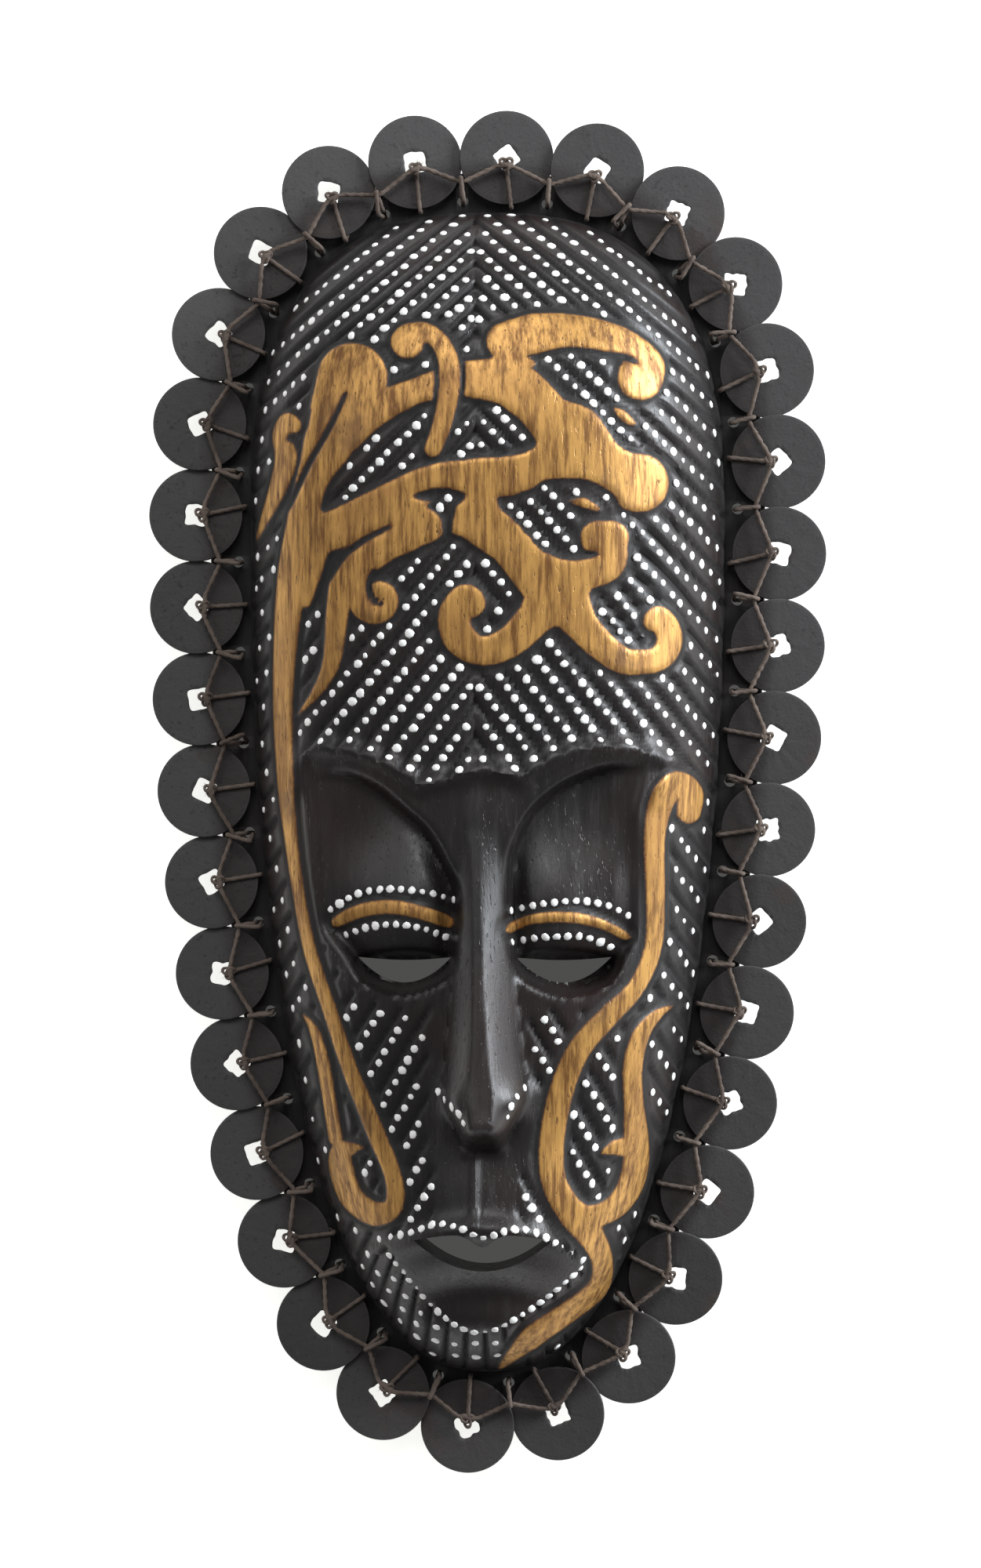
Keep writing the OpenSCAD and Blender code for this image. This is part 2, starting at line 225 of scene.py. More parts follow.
def stem_depth(x, y, stem):
    """Millimetres inside a stem, negative outside it. A stem is drawn by its middle line and how wide
    it is there: (across, up, half width), with round ends. The depth is the largest, over the line's
    short pieces, of the half width less the distance."""
    path = curve_through([spot[:2] for spot in stem], False)
    number = np.arange(len(stem))
    half = np.interp(np.linspace(0, len(stem) - 1, len(path)), number, [spot[2] for spot in stem])
    deepest = np.full(x.shape, -1e9)
    for (ax, ay), (bx, by), half_a, half_b in zip(path[:-1], path[1:], half[:-1], half[1:]):
        dx, dy = bx - ax, by - ay
        t = np.clip(((x - ax) * dx + (y - ay) * dy) / (dx * dx + dy * dy + 1e-12), 0, 1)
        apart = np.hypot(x - ax - t * dx, y - ay - t * dy)
        deepest = np.maximum(deepest, half_a + (half_b - half_a) * t - apart)
    return deepest


def curl(side, up, radii, start, turn, halves):
    """The end of a stem rolled up: a spiral round a centre, its radius and width changing evenly."""
    angle = np.radians(np.linspace(start, start + turn, 8))
    radius, half = np.linspace(*radii, 8), np.linspace(*halves, 8)
    return list(zip(side + radius * np.cos(angle), up + radius * np.sin(angle), half))


# The gilded scrolls, as stems: points along a middle line, each (across, up, half width). The crest
# on the brow has a body from the left arm to the right knob, a curl over it, and a waist below that
# ends in two curls and a small knob.
crest = [[(-6, 105, 4.6), (2, 104.6, 5.8), (7, 103.2, 6.3), (11, 99.8, 6.4), (16, 94.2, 6.6),
          (21.7, 89.6, 9), (28, 83.2, 7.4), (34, 79.6, 7.2), (38.8, 78.3, 7.7)],
         [(5, 109.5, 4), (8, 109.3, 2.6), (12, 108.7, 0.7)],
         [(4.5, 114.6, 4.9), (12, 116.4, 5.4), (20, 117.2, 4.5), (29, 116, 4), (36, 113.2, 3.9),
          (40.6, 108.4, 4.6), (39.2, 105.3, 6.1)],
         [(-3, 80, 5.2), (9, 81, 5.6), (21.7, 86, 7)],
         [(-4, 79, 5), (-2.2, 70, 6), (-1.6, 68.4, 6), (6, 62.6, 5.6), (13.4, 55.6, 7.2),
          (18.4, 50.2, 7.8)],
         [(-7.4, 67.6, 2.6), (-1.6, 68.4, 5)],
         [(28.1, 64.4, 4.5), (31.8, 64.3, 4.6)],
         [(30.2, 63, 5.8), (30, 58.2, 5.4), (24, 55, 4.6), (18.4, 50.2, 7)],
         [(19.6, 49, 6.8), (23.8, 42.6, 4.5), (28.8, 37.2, 4), (34.8, 33, 3.6)]
         + curl(40.6, 38.2, (5.4, 6.2), -90, 150, (3.3, 3.6)) + [(42.3, 43, 2.7)],
         [(17, 50, 7.6), (12.4, 44.2, 4.8), (5.6, 37.7, 4.2), (-1.4, 35.6, 3.9), (-6.9, 38.7, 4.4),
          (-8.3, 44.4, 4.3), (-5.6, 48.3, 4.5), (-3.7, 47.6, 3.6)]]
# Down the left side runs a long stem with a curl by the temple and a loop on the cheek, and two arms
# join it to the crest. A pointed leaf and a small curl hang from the lower arm.
left_stem = [[(-34.4, 105.2, 9.2), (-37.7, 95.6, 8.1), (-42.9, 82, 5.2), (-46.3, 69, 4.9),
              (-49.4, 55, 4.3), (-51.3, 40, 3.3), (-52.1, 21, 2.7), (-51.4, 2, 2.3),
              (-50.1, -12, 1.9), (-47.8, -28, 1.7),
              (-44.9, -42, 1.9), (-40.2, -56, 2), (-35.1, -71, 2.2), (-29, -86, 2.5), (-24.1, -98, 2.4),
              (-23.7, -106, 2.6), (-28.6, -108.2, 3.3), (-34.4, -104.1, 3.3), (-37.1, -97, 3.3),
              (-37.1, -92.6, 3), (-33.6, -91.4, 1.2), (-31.6, -91.3, 0.4)],
             [(-46.8, -57.4, 0.4), (-43.9, -62, 1.5), (-41.8, -70, 1.9), (-40.1, -80, 1.9),
              (-38.6, -89, 2)],
             [(-58.8, 64, 0.4), (-56.1, 70.6, 1.6), (-53.1, 78, 2.6), (-51.3, 85, 3.1),
              (-52.7, 90.4, 2.3), (-51.1, 94.2, 2.4), (-49.1, 93.2, 2.1)],
             [(-34, 94, 7.6), (-26.2, 98, 4.4), (-18, 102, 3.4), (-9, 104.4, 4.4)],
             [(-45.8, 64, 4.8), (-36, 67.8, 5.4), (-25, 72.4, 6.2), (-14, 78.8, 4.4), (-4, 79.8, 4.8)],
             [(-44, 62, 4), (-44.5, 56, 2.6), (-46.3, 48, 1.6)],
             [(-19.4, 70, 4.2), (-14.6, 69.2, 2.4), (-12.6, 67.4, 1.4)],
             [(-14, 66.6, 3), (-21, 66.1, 5.6), (-29.6, 61.6, 5.6), (-35.6, 54.4, 4.2), (-37.9, 47, 3.2),
              (-38.8, 39, 2.8), (-39.9, 32, 2.4), (-43.1, 25.6, 1.6), (-48.2, 19.3, 0.3)],
             [(-33, 55, 2.4)] + curl(-28.1, 48.9, (5, 1.8), 185, 300, (2.6, 2.5))]
# The cane crosses the arm. It is hooked at its head.
cane = [(-13.8, 87.2, 2.4), (-11.6, 93, 2.6), (-9.8, 101, 2.8), (-9.6, 108, 2.9), (-11.4, 113.4, 2.6),
        (-15.2, 116.9, 2.4), (-19.4, 115.7, 3.8), (-20.3, 114.5, 4.5)]
# Down the right side runs a vine: hooked at the brow, split at the jaw into a loop and a tail.
vine = [[(51.4, -5.4, 3.3), (51.7, -0.8, 3.5), (48.2, 1.5, 3.5), (44.6, -2.6, 3.4), (42.7, -12, 2.9),
         (42.9, -27, 2.6), (42.3, -40, 2.4), (38, -50.2, 2.4), (30.6, -58, 2.9), (23.6, -66, 3.1),
         (18.9, -77, 3.3), (16.5, -90, 3.4), (17.1, -100, 3.4), (21.8, -108.2, 3.8), (26.4, -113.6, 3.6),
         (29.3, -120, 2.9), (28.1, -127, 2.8), (20.4, -133.3, 2.9), (11, -139.9, 3.1), (3.4, -147.2, 0.7)],
        [(19.4, -105, 3.4), (25, -108.6, 3), (31.6, -107, 3.1), (36.1, -101.6, 3.4), (37.9, -95, 3.5),
         (38, -88, 3.3), (37.4, -80, 2.7), (37.1, -71, 2.7), (39.1, -62.6, 2.4), (43.4, -57.2, 1.5),
         (47.6, -54.9, 0.3)],
        [(37.6, -91.4, 3.1), (33, -91.1, 2.2), (29.1, -92.6, 0.4)]]
# A curved strip on each eyelid, by its outline, and two small leaves by the crest.
lid_strips = [[(-39.5, -32.6), (-33, -29), (-25, -27.8), (-17, -29.2), (-9, -32.2), (-9.5, -35.4),
               (-18, -33), (-25, -31.8), (-32, -32.8), (-38.5, -35.2)],
              [(5, -34.3), (11, -31.5), (18, -30.8), (25, -31.3), (32, -33.8), (37, -37.2),
               (35, -38.4), (30, -36), (24, -34.4), (17, -34), (11, -34.6), (5.5, -36.8)]]
gold_leaves = [[(21.1, 73.7, 0.4), (24.6, 73.3, 1.5), (27.4, 72.1, 1.1), (29.2, 71, 0.3)],
               [(32.3, 97.6, 0.3), (34.2, 95.9, 1.4), (36.4, 94.1, 1.2), (38.1, 92.9, 0.3)]]
# The dark leaves left in the gold, and the thin cuts that part one stem from the next.
dark_leaves = [[(-41.8, 71.6, 0.4), (-37.4, 76.6, 3.4), (-31.4, 81.4, 5), (-24, 86.8, 6.6),
                (-15, 91.1, 7.6), (-5, 92.2, 7.5), (3, 91.1, 5.9), (8, 89.4, 3.4), (12, 88.3, 0.4)],
               [(-18.2, 75.1, 0.3), (-13.6, 75.2, 1.7), (-10, 74.4, 2.5), (-6.3, 75.1, 0.6)],
               [(-10, 74.4, 2.3), (-10.1, 70, 1.4), (-10.2, 65, 0.9), (-10.3, 61.6, 0.9)],
               [(4.4, 73.1, 0.4), (10, 71.8, 4.2), (14.4, 70.6, 6.6), (17.3, 68.2, 6.9)],
               [(17, 73, 6.3), (24, 74.4, 4.7), (29.4, 72.9, 3.6), (33.3, 70.7, 0.9)],
               [(17.4, 66.6, 6.4), (19.8, 63.1, 4), (23.4, 60.2, 1.2), (28, 60.4, 0.4)]]
cuts = [[(-36.1, 101.3, 0.3), (-40.2, 92.6, 0.6), (-44.8, 84.6, 0.6), (-48.2, 77.6, 0.6),
         (-51, 72.2, 0.7), (-55.2, 68.2, 0.6)],
        [(-45.7, 97.2, 0.6), (-46.6, 92.6, 0.6), (-48.6, 89.6, 0.6), (-51, 89.7, 0.4)],
        [(-24.6, 67.4, 0.3), (-31, 64.1, 0.6), (-36.4, 60.1, 0.7), (-40.2, 54.6, 0.8)],
        [(-28.7, 55.6, 0.8), (-30.1, 53, 0.6), (-29.6, 49.8, 0.6), (-27.1, 47.6, 0.4)],
        [(31, 110.7, 0.9), (35.4, 110.2, 0.7), (38.1, 109.1, 0.3)],
        [(33.4, 70.2, 0.7), (46.6, 69.9, 0.7)]]


def gilt_depth(x, y):
    """Millimetres inside the gilding: the stems joined, less the dark leaves and cuts, with the
    cane laid on top inside its own dark outline, and the eyelid strips and small leaves added."""
    gold = np.max([stem_depth(x, y, stem) for stem in crest + left_stem], axis=0)
    gold = np.minimum(gold, -np.max([stem_depth(x, y, stem) for stem in dark_leaves + cuts], axis=0))
    across = stem_depth(x, y, cane)
    gold = np.maximum(np.minimum(gold, -across - 0.9), across)
    for stem in vine + gold_leaves:
        gold = np.maximum(gold, stem_depth(x, y, stem))
    for shape in lid_strips:
        gold = np.maximum(gold, depth_inside(x, y, shape))
    return gold


# The smooth face: everything under the brows that has no ridges, and the two hollow eye sockets.
plain_face = [(-49, 7), (-35, 10), (-21, 4), (-16.5, 1, 1), (-10, 3), (-3, 5), (3, 5), (8.5, 3.5, 1),
              (18, 8.5), (28, 11), (40, 10), (47, 6.5, 1), (41, -10), (42, -35), (36, -50), (24, -56),
              (14, -55.5), (10, -60), (12, -75), (12.5, -88), (8, -100), (9, -110), (25, -121, 1),
              (13, -131), (0, -138), (-11, -134.5), (-27, -115, 1), (-15, -110), (-13, -100),
              (-15, -90), (-14.5, -62), (-14, -55), (-20, -55.5), (-33, -52), (-40, -42), (-47, -25)]
sockets = [[(-48, 3), (-42, 6), (-35, 5.5), (-27, 1.5), (-21, -3.5), (-14.5, -9.5), (-10, -17),
            (-6.5, -26), (-7, -38), (-9.5, -48), (-21, -53), (-32, -50), (-38, -42), (-44, -34),
            (-47.5, -20)],
           [(41, 6), (33.5, 7.5), (26, 6), (17.5, 2), (10.5, -4), (6, -12), (4, -20), (4.5, -38),
            (8, -48.5), (20, -53.5), (31, -50.5), (36, -44), (39, -36), (40, -20), (39.5, -6)]]


# Where the face's features stand on the drawing, and how far each one rises or sinks.
nose_rise, nose_top, nose_tip, wing_y = 15.0, -10, -86, -80.5
eye_middles, lid_y, socket_depth = (-21, 20), -37, 7.5
lip_y, muzzle_rise, under_lip = -116, 8.5, 6.2


def carved_height(across, upward):
    """Height of the carved face out of the wall: the dome, plus nose, sockets, mouth and chin."""
    base = dome(across, upward)
    x, y = on_board(across, upward, base + 5)
    t = np.clip((nose_top - y) / (nose_top - nose_tip), 0, 1)
    crest_x = -3.2 + 2.0 * t
    half = np.where(x > crest_x, 5.4 + 6.8 * t ** 1.2, 3.2 + 7.8 * t ** 1.2)
    half = half * (1 - 0.5 * smooth(-75, -92, y))
    side = np.sqrt(((x - crest_x) / half) ** 2 + 0.012)
    ridge = nose_rise * (0.10 + 0.90 * t ** 1.1)
    ridge = ridge * np.clip(1.11 - side ** (1.1 + 1.0 * t ** 4), 0, 1) ** 0.85
    ridge = ridge * smooth(6, -14, y) * smooth(-94, -85, y + 0.12 * np.abs(x + 0.6))
    wings = 3.6 * bell(np.abs(x + 0.6) - 8.8, 3.2) * bell(y - wing_y, 5.5)
    hollow = 0
    for shape, eye in zip(sockets, eye_middles):
        inside = depth_inside(x, y, shape)
        flush = 1 - smooth(24, 47, np.abs(x + 1.5)) * smooth(-52, -30, y)
        bowl = -socket_depth * smooth(-0.2, 3.4, inside) * flush
        bowl = bowl + 5.5 * bell(x - eye, 15) * bell(y + 29, 14) * smooth(0, 8, inside)
        lid = 2.2 * bell(x - eye, 14) * bell(y - lid_y + 0.012 * (x - eye) ** 2, 6)
        rim = np.hypot((x - eye) / 13.6, (y + 42) / 11)
        under = smooth(-40.5, -43.5, y + 0.012 * (x - eye) ** 2) * smooth(1.08, 0.86, rim)
        hollow = hollow + bowl + (lid - 4.2 * under) * smooth(0, 3, inside)
    mouth_line = lip_y - 0.010 * (x + 1.5) ** 2
    muzzle = muzzle_rise * bell(x + 1, 26) * bell(y + 117, 22)
    lips = 3.0 * bell(y - mouth_line - 4, 3.2) + 1.0 * bell(y - mouth_line + 19, 4)
    lips = bell(x + 1.5, 24) * lips - under_lip * bell(x + 1, 21) * bell(y - mouth_line + 12, 7.5)
    philtrum = 1.2 * bell(x + 3.2, 1.3) * smooth(-90, -94, y) * smooth(-114, -110, y)
    brow = 2.0 * (bell(depth_inside(x, y, plain_face), 2.2)) * smooth(-6, 2, y)
    features = ridge + wings + hollow + muzzle + lips + philtrum + brow
    return np.maximum(base + smooth(0, 12, base) * features, ledge_top)


# How far it is along the dome's section, so that the grid's points can be spread evenly over it.
section_half = 55
section = np.linspace(0, 1, 2001)
section_out = dome_d / section_half * (1 - section ** section_pow) ** (1 / section_root)
section_run = np.r_[0, np.cumsum(np.hypot(np.diff(section), np.diff(section_out)))]


ridge_pitch, fan_y0, fan_radius = 5.4, -62, 84


def ridge_angle(top):
    """Degrees that a chevron slopes by, for the height at which it leaves the seam."""
    return np.interp(top, [-40, 20, 80, 130, 190], [59, 54, 49, 43, 34])


def ridge_place(x, y):
    """Which ridge a spot of the drawing is on; whole numbers are crests.
    Chevrons slope down from the seam, flatter at the crown; under the mouth they fan downwards."""
    arm = np.abs(x - seam_x)
    top = y
    for _ in range(8):
        slope = np.tan(np.radians(ridge_angle(top)))
        top = y + slope * arm
    count = top / (ridge_pitch * np.sqrt(1 + slope ** 2))
    turn = np.arctan2(x - seam_x, -(y - fan_y0))
    fan = (smooth(-112, -118, y + 0.12 * np.abs(x)) > 0.5) & (np.abs(turn) < 1.2)
    return np.where(fan, turn * fan_radius / ridge_pitch, count)


def fine_relief(x, y, gold, plain, level):
    """Shallow cuts, along the surface's normal: V grooves between ridges, rounded raised scrolls
    with a dark cut round them, and none of it on the smooth face."""
    count = ridge_place(x, y)
    valley = np.abs(count - np.round(count)) * 2
    grooves = -1.0 * smooth(0.58, 1.0, valley)
    ridged = smooth(0.4, -0.8, plain) * smooth(-0.8, -2.2, gold)
    seam = -0.5 * bell(x - seam_x, 0.7) * (y > 0) * ridged
    scrolls = 0.35 * smooth(-0.5, 0.9, gold) - 0.4 * bell(gold + 0.9, 0.75)
    foot = smooth(5, 9, level)
    return (grooves * ridged + seam + scrolls) * foot


def round_grid(columns, rows, width, up, down):
    """A square grid bent to fill an egg outline, and spread evenly over the dome's slope."""
    u, v = np.meshgrid(np.linspace(-1, 1, columns + 1), np.linspace(-1, 1, rows + 1))
    du, dv = u * np.sqrt(1 - v * v / 2), v * np.sqrt(1 - u * u / 2)
    share, angle = np.clip(np.hypot(du, dv), 0, 1), np.arctan2(dv, du)
    ex, ey = egg(np.linspace(0, 2 * math.pi, 4001), width, up, down)
    half_tall, mid = (up + down) / 2, belt_y + (up - down) / 2
    edge_angle = np.unwrap(np.arctan2((ey - mid) / half_tall, ex / width))
    edge_far = np.hypot((ey - mid) / half_tall, ex / width)
    far = np.interp(np.mod(angle, 2 * math.pi), edge_angle, edge_far, period=2 * math.pi)
    share = np.interp(share * section_run[-1], section_run, section)
    return share * far * np.cos(angle) * width, mid + share * far * np.sin(angle) * half_tall


def rim_of(columns, rows):
    """Numbers of a grid's edge points, anticlockwise as the viewer sees them."""
    n = np.arange((columns + 1) * (rows + 1)).reshape(rows + 1, columns + 1)
    return np.concatenate([n[0, :-1], n[:-1, -1], n[-1, :0:-1], n[:0:-1, 0]])


def grid_quads(columns, rows):
    """Four-cornered faces of a grid, anticlockwise as the viewer sees them."""
    n = np.arange((columns + 1) * (rows + 1)).reshape(rows + 1, columns + 1)
    return np.stack([n[:-1, :-1], n[:-1, 1:], n[1:, 1:], n[1:, :-1]], axis=-1).reshape(-1, 4)


def new_piece(name, points, faces, smooth_angle=None):
    """A mesh object at the origin from points in metres and a list of face arrays."""
    mesh = bpy.data.meshes.new(name)
    corners = np.concatenate([f.ravel() for f in faces])
    sizes = np.concatenate([np.full(len(f), f.shape[1]) for f in faces])
    mesh.vertices.add(len(points))
    mesh.vertices.foreach_set("co", np.ascontiguousarray(points, dtype=np.float32).ravel())
    mesh.loops.add(len(corners))
    mesh.loops.foreach_set("vertex_index", corners.astype(np.int32))
    mesh.polygons.add(len(sizes))
    mesh.polygons.foreach_set("loop_start", np.r_[0, np.cumsum(sizes)[:-1]].astype(np.int32))
    mesh.update(calc_edges=True)
    mesh.polygons.foreach_set("use_smooth", np.ones(len(sizes), bool))
    if smooth_angle:
        mesh.set_sharp_from_angle(angle=math.radians(smooth_angle))
    piece = bpy.data.objects.new(name, mesh)
    bpy.context.collection.objects.link(piece)
    return piece


front_x, front_y = round_grid(front_columns, front_rows, half_w, crown_h, jaw_h)
front_out = carved_height(front_x, front_y)
drawn_x, drawn_y = on_board(front_x, front_y, front_out)
gold = gilt_depth(drawn_x, drawn_y)
plain = depth_inside(drawn_x, drawn_y, plain_face)
flat = np.stack([front_x, front_y, front_out], axis=-1)
normal = np.cross(np.gradient(flat, axis=1), np.gradient(flat, axis=0))
normal /= np.maximum(np.linalg.norm(normal, axis=-1, keepdims=True), 1e-9)
relief = fine_relief(drawn_x, drawn_y, gold, plain, dome(front_x, front_y))
flat = flat + normal * relief[..., None]
edge = rim_of(front_columns, front_rows)
flat = flat.reshape(-1, 3)
flat[edge, 2] = ledge_top
edge_x, edge_y = front_x.ravel()[edge], front_y.ravel()[edge]
way = np.stack([np.roll(v, -1) - np.roll(v, 1) for v in (edge_x, edge_y)], axis=-1)
way /= np.linalg.norm(way, axis=-1, keepdims=True)


def edge_ring(out, height):
    """The foot of the face moved outwards by a distance, at a height off the wall."""
    return np.stack([edge_x + way[:, 1] * out, edge_y - way[:, 0] * out,
                     np.full(len(edge), height)], axis=-1)


# The hollow behind is a smaller dome, and its rim is thicker at the crown and the chin.
hollow_up, hollow_down = crown_h - crown_wall, jaw_h - chin_wall
back_x, back_y = round_grid(back_columns, back_rows, half_w - shell_t, hollow_up, hollow_down)
up = back_y >= belt_y
t = np.clip(np.abs(back_y - belt_y) / np.where(up, hollow_up, hollow_down), 0, 1)
back_w = np.maximum(width_at(t, up, half_w - shell_t), 1e-3)
back_out = (dome_d - shell_t - 1) * np.sqrt(1 - t ** np.where(up, crown_pow, hollow_chin_pow))
back_out = back_out * np.sqrt(1 - np.clip(np.abs(back_x) / back_w, 0, 1) ** section_pow)
back = np.stack([back_x, back_y, back_out], axis=-1).reshape(-1, 3)
coarse = rim_of(back_columns, back_rows)
back[coarse, 2] = 0

# Rings down the side: the ledge with its worn edges, then the wall of the block and its back edge.
worn_by, back_edge = 0.4, 0.5
rings = [edge_ring(*place) for place in (
    (ledge_w - worn_by, ledge_top), (ledge_w, ledge_top - worn_by), (ledge_w, ledge_low + worn_by),
    (ledge_w - worn_by, ledge_low), (0, ledge_low), (0, back_edge), (-back_edge, 0))]
count = len(edge)
starts = [len(flat) + k * count for k in range(len(rings))]
numbers = [edge] + [s + np.arange(count) for s in starts]
faces = [grid_quads(front_columns, front_rows)]
for a, b in zip(numbers[:-1], numbers[1:]):
    faces.append(np.stack([a, b, np.roll(b, -1), np.roll(a, -1)], axis=-1))
back_first = len(flat) + len(rings) * count
last, inner = numbers[-1], back_first + coarse
finer = front_columns // back_columns
owner = inner[np.arange(count) // finer]
faces.append(np.stack([last, owner, np.roll(last, -1)], axis=-1))
ends = np.roll(last, -1)[finer - 1::finer]
faces.append(np.stack([ends, inner, np.roll(inner, -1)], axis=-1))
faces.append(back_first + grid_quads(back_columns, back_rows)[:, ::-1])
points = np.concatenate([flat] + rings + [back])
body = new_piece("carved_body", in_metres(points[:, 0], points[:, 1], points[:, 2]), faces)


def mark(piece, name, values):
    """Stores one number for each point of a piece; points past the end of the list get 0."""
    all_values = np.zeros(len(piece.data.vertices), np.float32)
    all_values[:len(values)] = values
    piece.data.attributes.new(name, "FLOAT", "POINT").data.foreach_set("value", all_values)


# Gilding is stored as 2 more than its depth in millimetres, so that bare wood reads 0.
ridge_number = ridge_place(drawn_x, drawn_y)
# The groove mark is painted shade: it darkens the lacquer in the V grooves between ridges, in the cut
# round the scrolls, low on the dome near its foot, and over the ledge.
groove_shade = smooth(0.55, 0.9, np.abs(ridge_number - np.round(ridge_number)) * 2) * smooth(0.4, -0.8, plain)
groove_shade = np.maximum(groove_shade * smooth(-0.6, -1.8, gold), 0.9 * bell(gold + 0.6, 0.55))
groove_shade = np.maximum(groove_shade, smooth(14, 6, dome(front_x, front_y)))
mark(body, "gilt", np.maximum(gold + 2, 0).ravel())
mark(body, "groove_shade", np.r_[groove_shade.ravel(), np.ones(4 * count)])

# The eyes, the mouth and the lash holes in the ledge are cut right through, and the hanging hole is
# cut part of the way from behind. All have straight sides, where the mask's own solid has them.
eye_x, eye_y, eye_half = 20.0, -41.5, 12.0
eye_top_sag, eye_low_sag = 0.8, 6.5
mouth_y, mouth_half, mouth_drop = -109.0, 17.0, 8.0
ring_out, coin_count, first_shift = 13.5, 34, 5
coin_tie_at, coin_tie_hole = 3.6, 0.8
pair_tie_at, pair_tie_hole = 3.0, 1.5
hang_r, hang_deep = 3, 10


def rim_spot(u, out):
    """A spot a given way outside the face's outline, with the clockwise and outward directions."""
    turn = np.radians(u)
    here = np.stack(egg(turn, half_w, crown_h, jaw_h), axis=-1)
    step = math.radians(1)
    along = (np.stack(egg(turn - step, half_w, crown_h, jaw_h), axis=-1)
             - np.stack(egg(turn + step, half_w, crown_h, jaw_h), axis=-1))
    along /= np.linalg.norm(along, axis=-1, keepdims=True)
    outward = np.stack([-along[..., 1], along[..., 0]], axis=-1)
    return here + np.asarray(out)[..., None] * outward, along, outward


# A dark, faintly glowing card between the mask and the wall, a little smaller than the ledge, is painted
# shade: it stands where only the hollow's shade would be seen through the openings.
shade_card, _, _ = rim_spot(np.linspace(0, 360, 97)[:-1], 9.0)
studio_sheet("painted_shade_card", [(x / 1000, wall_y - 0.0005, (y - hang_y) / 1000) for x, y in shade_card],
             0.05, 0.075)
trace_u = np.linspace(0, 360, 721)
trace, _, _ = rim_spot(trace_u, ring_out)
trace_run = np.r_[0, np.cumsum(np.linalg.norm(np.diff(trace, axis=0), axis=1))]


def coin_u(number):
    """Angle of a coin, counted clockwise from the crown in equal steps; halves lie between coins."""
    run = np.interp(90, trace_u, trace_run) - first_shift
    run = run - (np.asarray(number) - 1) * trace_run[-1] / coin_count
    return np.interp(np.mod(run, trace_run[-1]), trace_run, trace_u)


def prism(loop_x, loop_y, low, high):
    """A straight-sided cutter on a loop given anticlockwise, as points and face arrays."""
    n = len(loop_x)
    ends = [np.stack([loop_x, loop_y, np.full(n, level)], axis=-1) for level in (low, high)]
    k = np.arange(n)
    sides = np.stack([k, np.roll(k, -1), np.roll(k, -1) + n, k + n], axis=-1)
    return np.concatenate(ends), [sides, k[None, ::-1], (k + n)[None, :]]


def lens_loop(middle_x, half, top, bottom):
    """A loop between a top edge and a bottom edge, both functions of the way across."""
    s = np.linspace(-1, 1, 33)
    x = np.r_[s, s[-2:0:-1]] * half
    y = np.r_[bottom(s * half), top(s[-2:0:-1] * half)]
    return middle_x + x, y


def lip_top(x):
    """The upper lip's edge: two peaks with a dip between them."""
    return mouth_y - 3.6 * bell(x, 3.6) - 0.008 * x * x


def cut_away(piece, cutters):
    """Takes all the cutters out of a piece."""
    made, first = [], 0
    for spots, loops in cutters:
        made += [f + first for f in loops]
        first += len(spots)
    spots = np.concatenate([c[0] for c in cutters])
    tool = new_piece("cutter", in_metres(spots[:, 0], spots[:, 1], spots[:, 2]), made)
    cut = piece.modifiers.new("cut", "BOOLEAN")
    cut.operation, cut.solver, cut.object = "DIFFERENCE", "MANIFOLD", tool
    result = bpy.data.meshes.new_from_object(piece.evaluated_get(bpy.context.evaluated_depsgraph_get()))
    if len(result.vertices) < len(piece.data.vertices):
        raise RuntimeError(f"cutting {piece.name} lost part of it: {len(result.vertices)} points are left")
    piece.modifiers.clear()
    piece.data = result
    bpy.data.objects.remove(tool)


cutters = []
for side in (-1, 1):
    loop = lens_loop(side * eye_x, eye_half, lambda x: eye_y - eye_top_sag * (1 - (x / eye_half) ** 2),
                     lambda x: eye_y - eye_low_sag * (1 - (x / eye_half) ** 2))
    cutters.append(prism(*loop, 10, 70))
loop = lens_loop(0, mouth_half, lip_top,
                 lambda x: lip_top(mouth_half) - mouth_drop * (1 - (x / mouth_half) ** 2))
cutters.append(prism(*loop, 8, 78))
circle = np.linspace(0, 2 * math.pi, 13)[:-1]
drill_from, drill_to = 0.8, ledge_top + 0.4
for number in range(1, coin_count + 1):
    for half, at, hole_r in ((0, coin_tie_at, coin_tie_hole), (0.5, pair_tie_at, pair_tie_hole)):
        spot, _, _ = rim_spot(coin_u(number + half), at)
        cutters.append(prism(spot[0] + hole_r * np.cos(circle), spot[1] + hole_r * np.sin(circle),
                             drill_from, drill_to))
peg = np.linspace(0, 2 * math.pi, 49)[:-1]
cutters.append(prism(hang_r * np.cos(peg), hang_y + hang_r * np.sin(peg), -1, hang_deep))
cut_away(body, cutters)
body.data.set_sharp_from_angle(angle=math.radians(42))


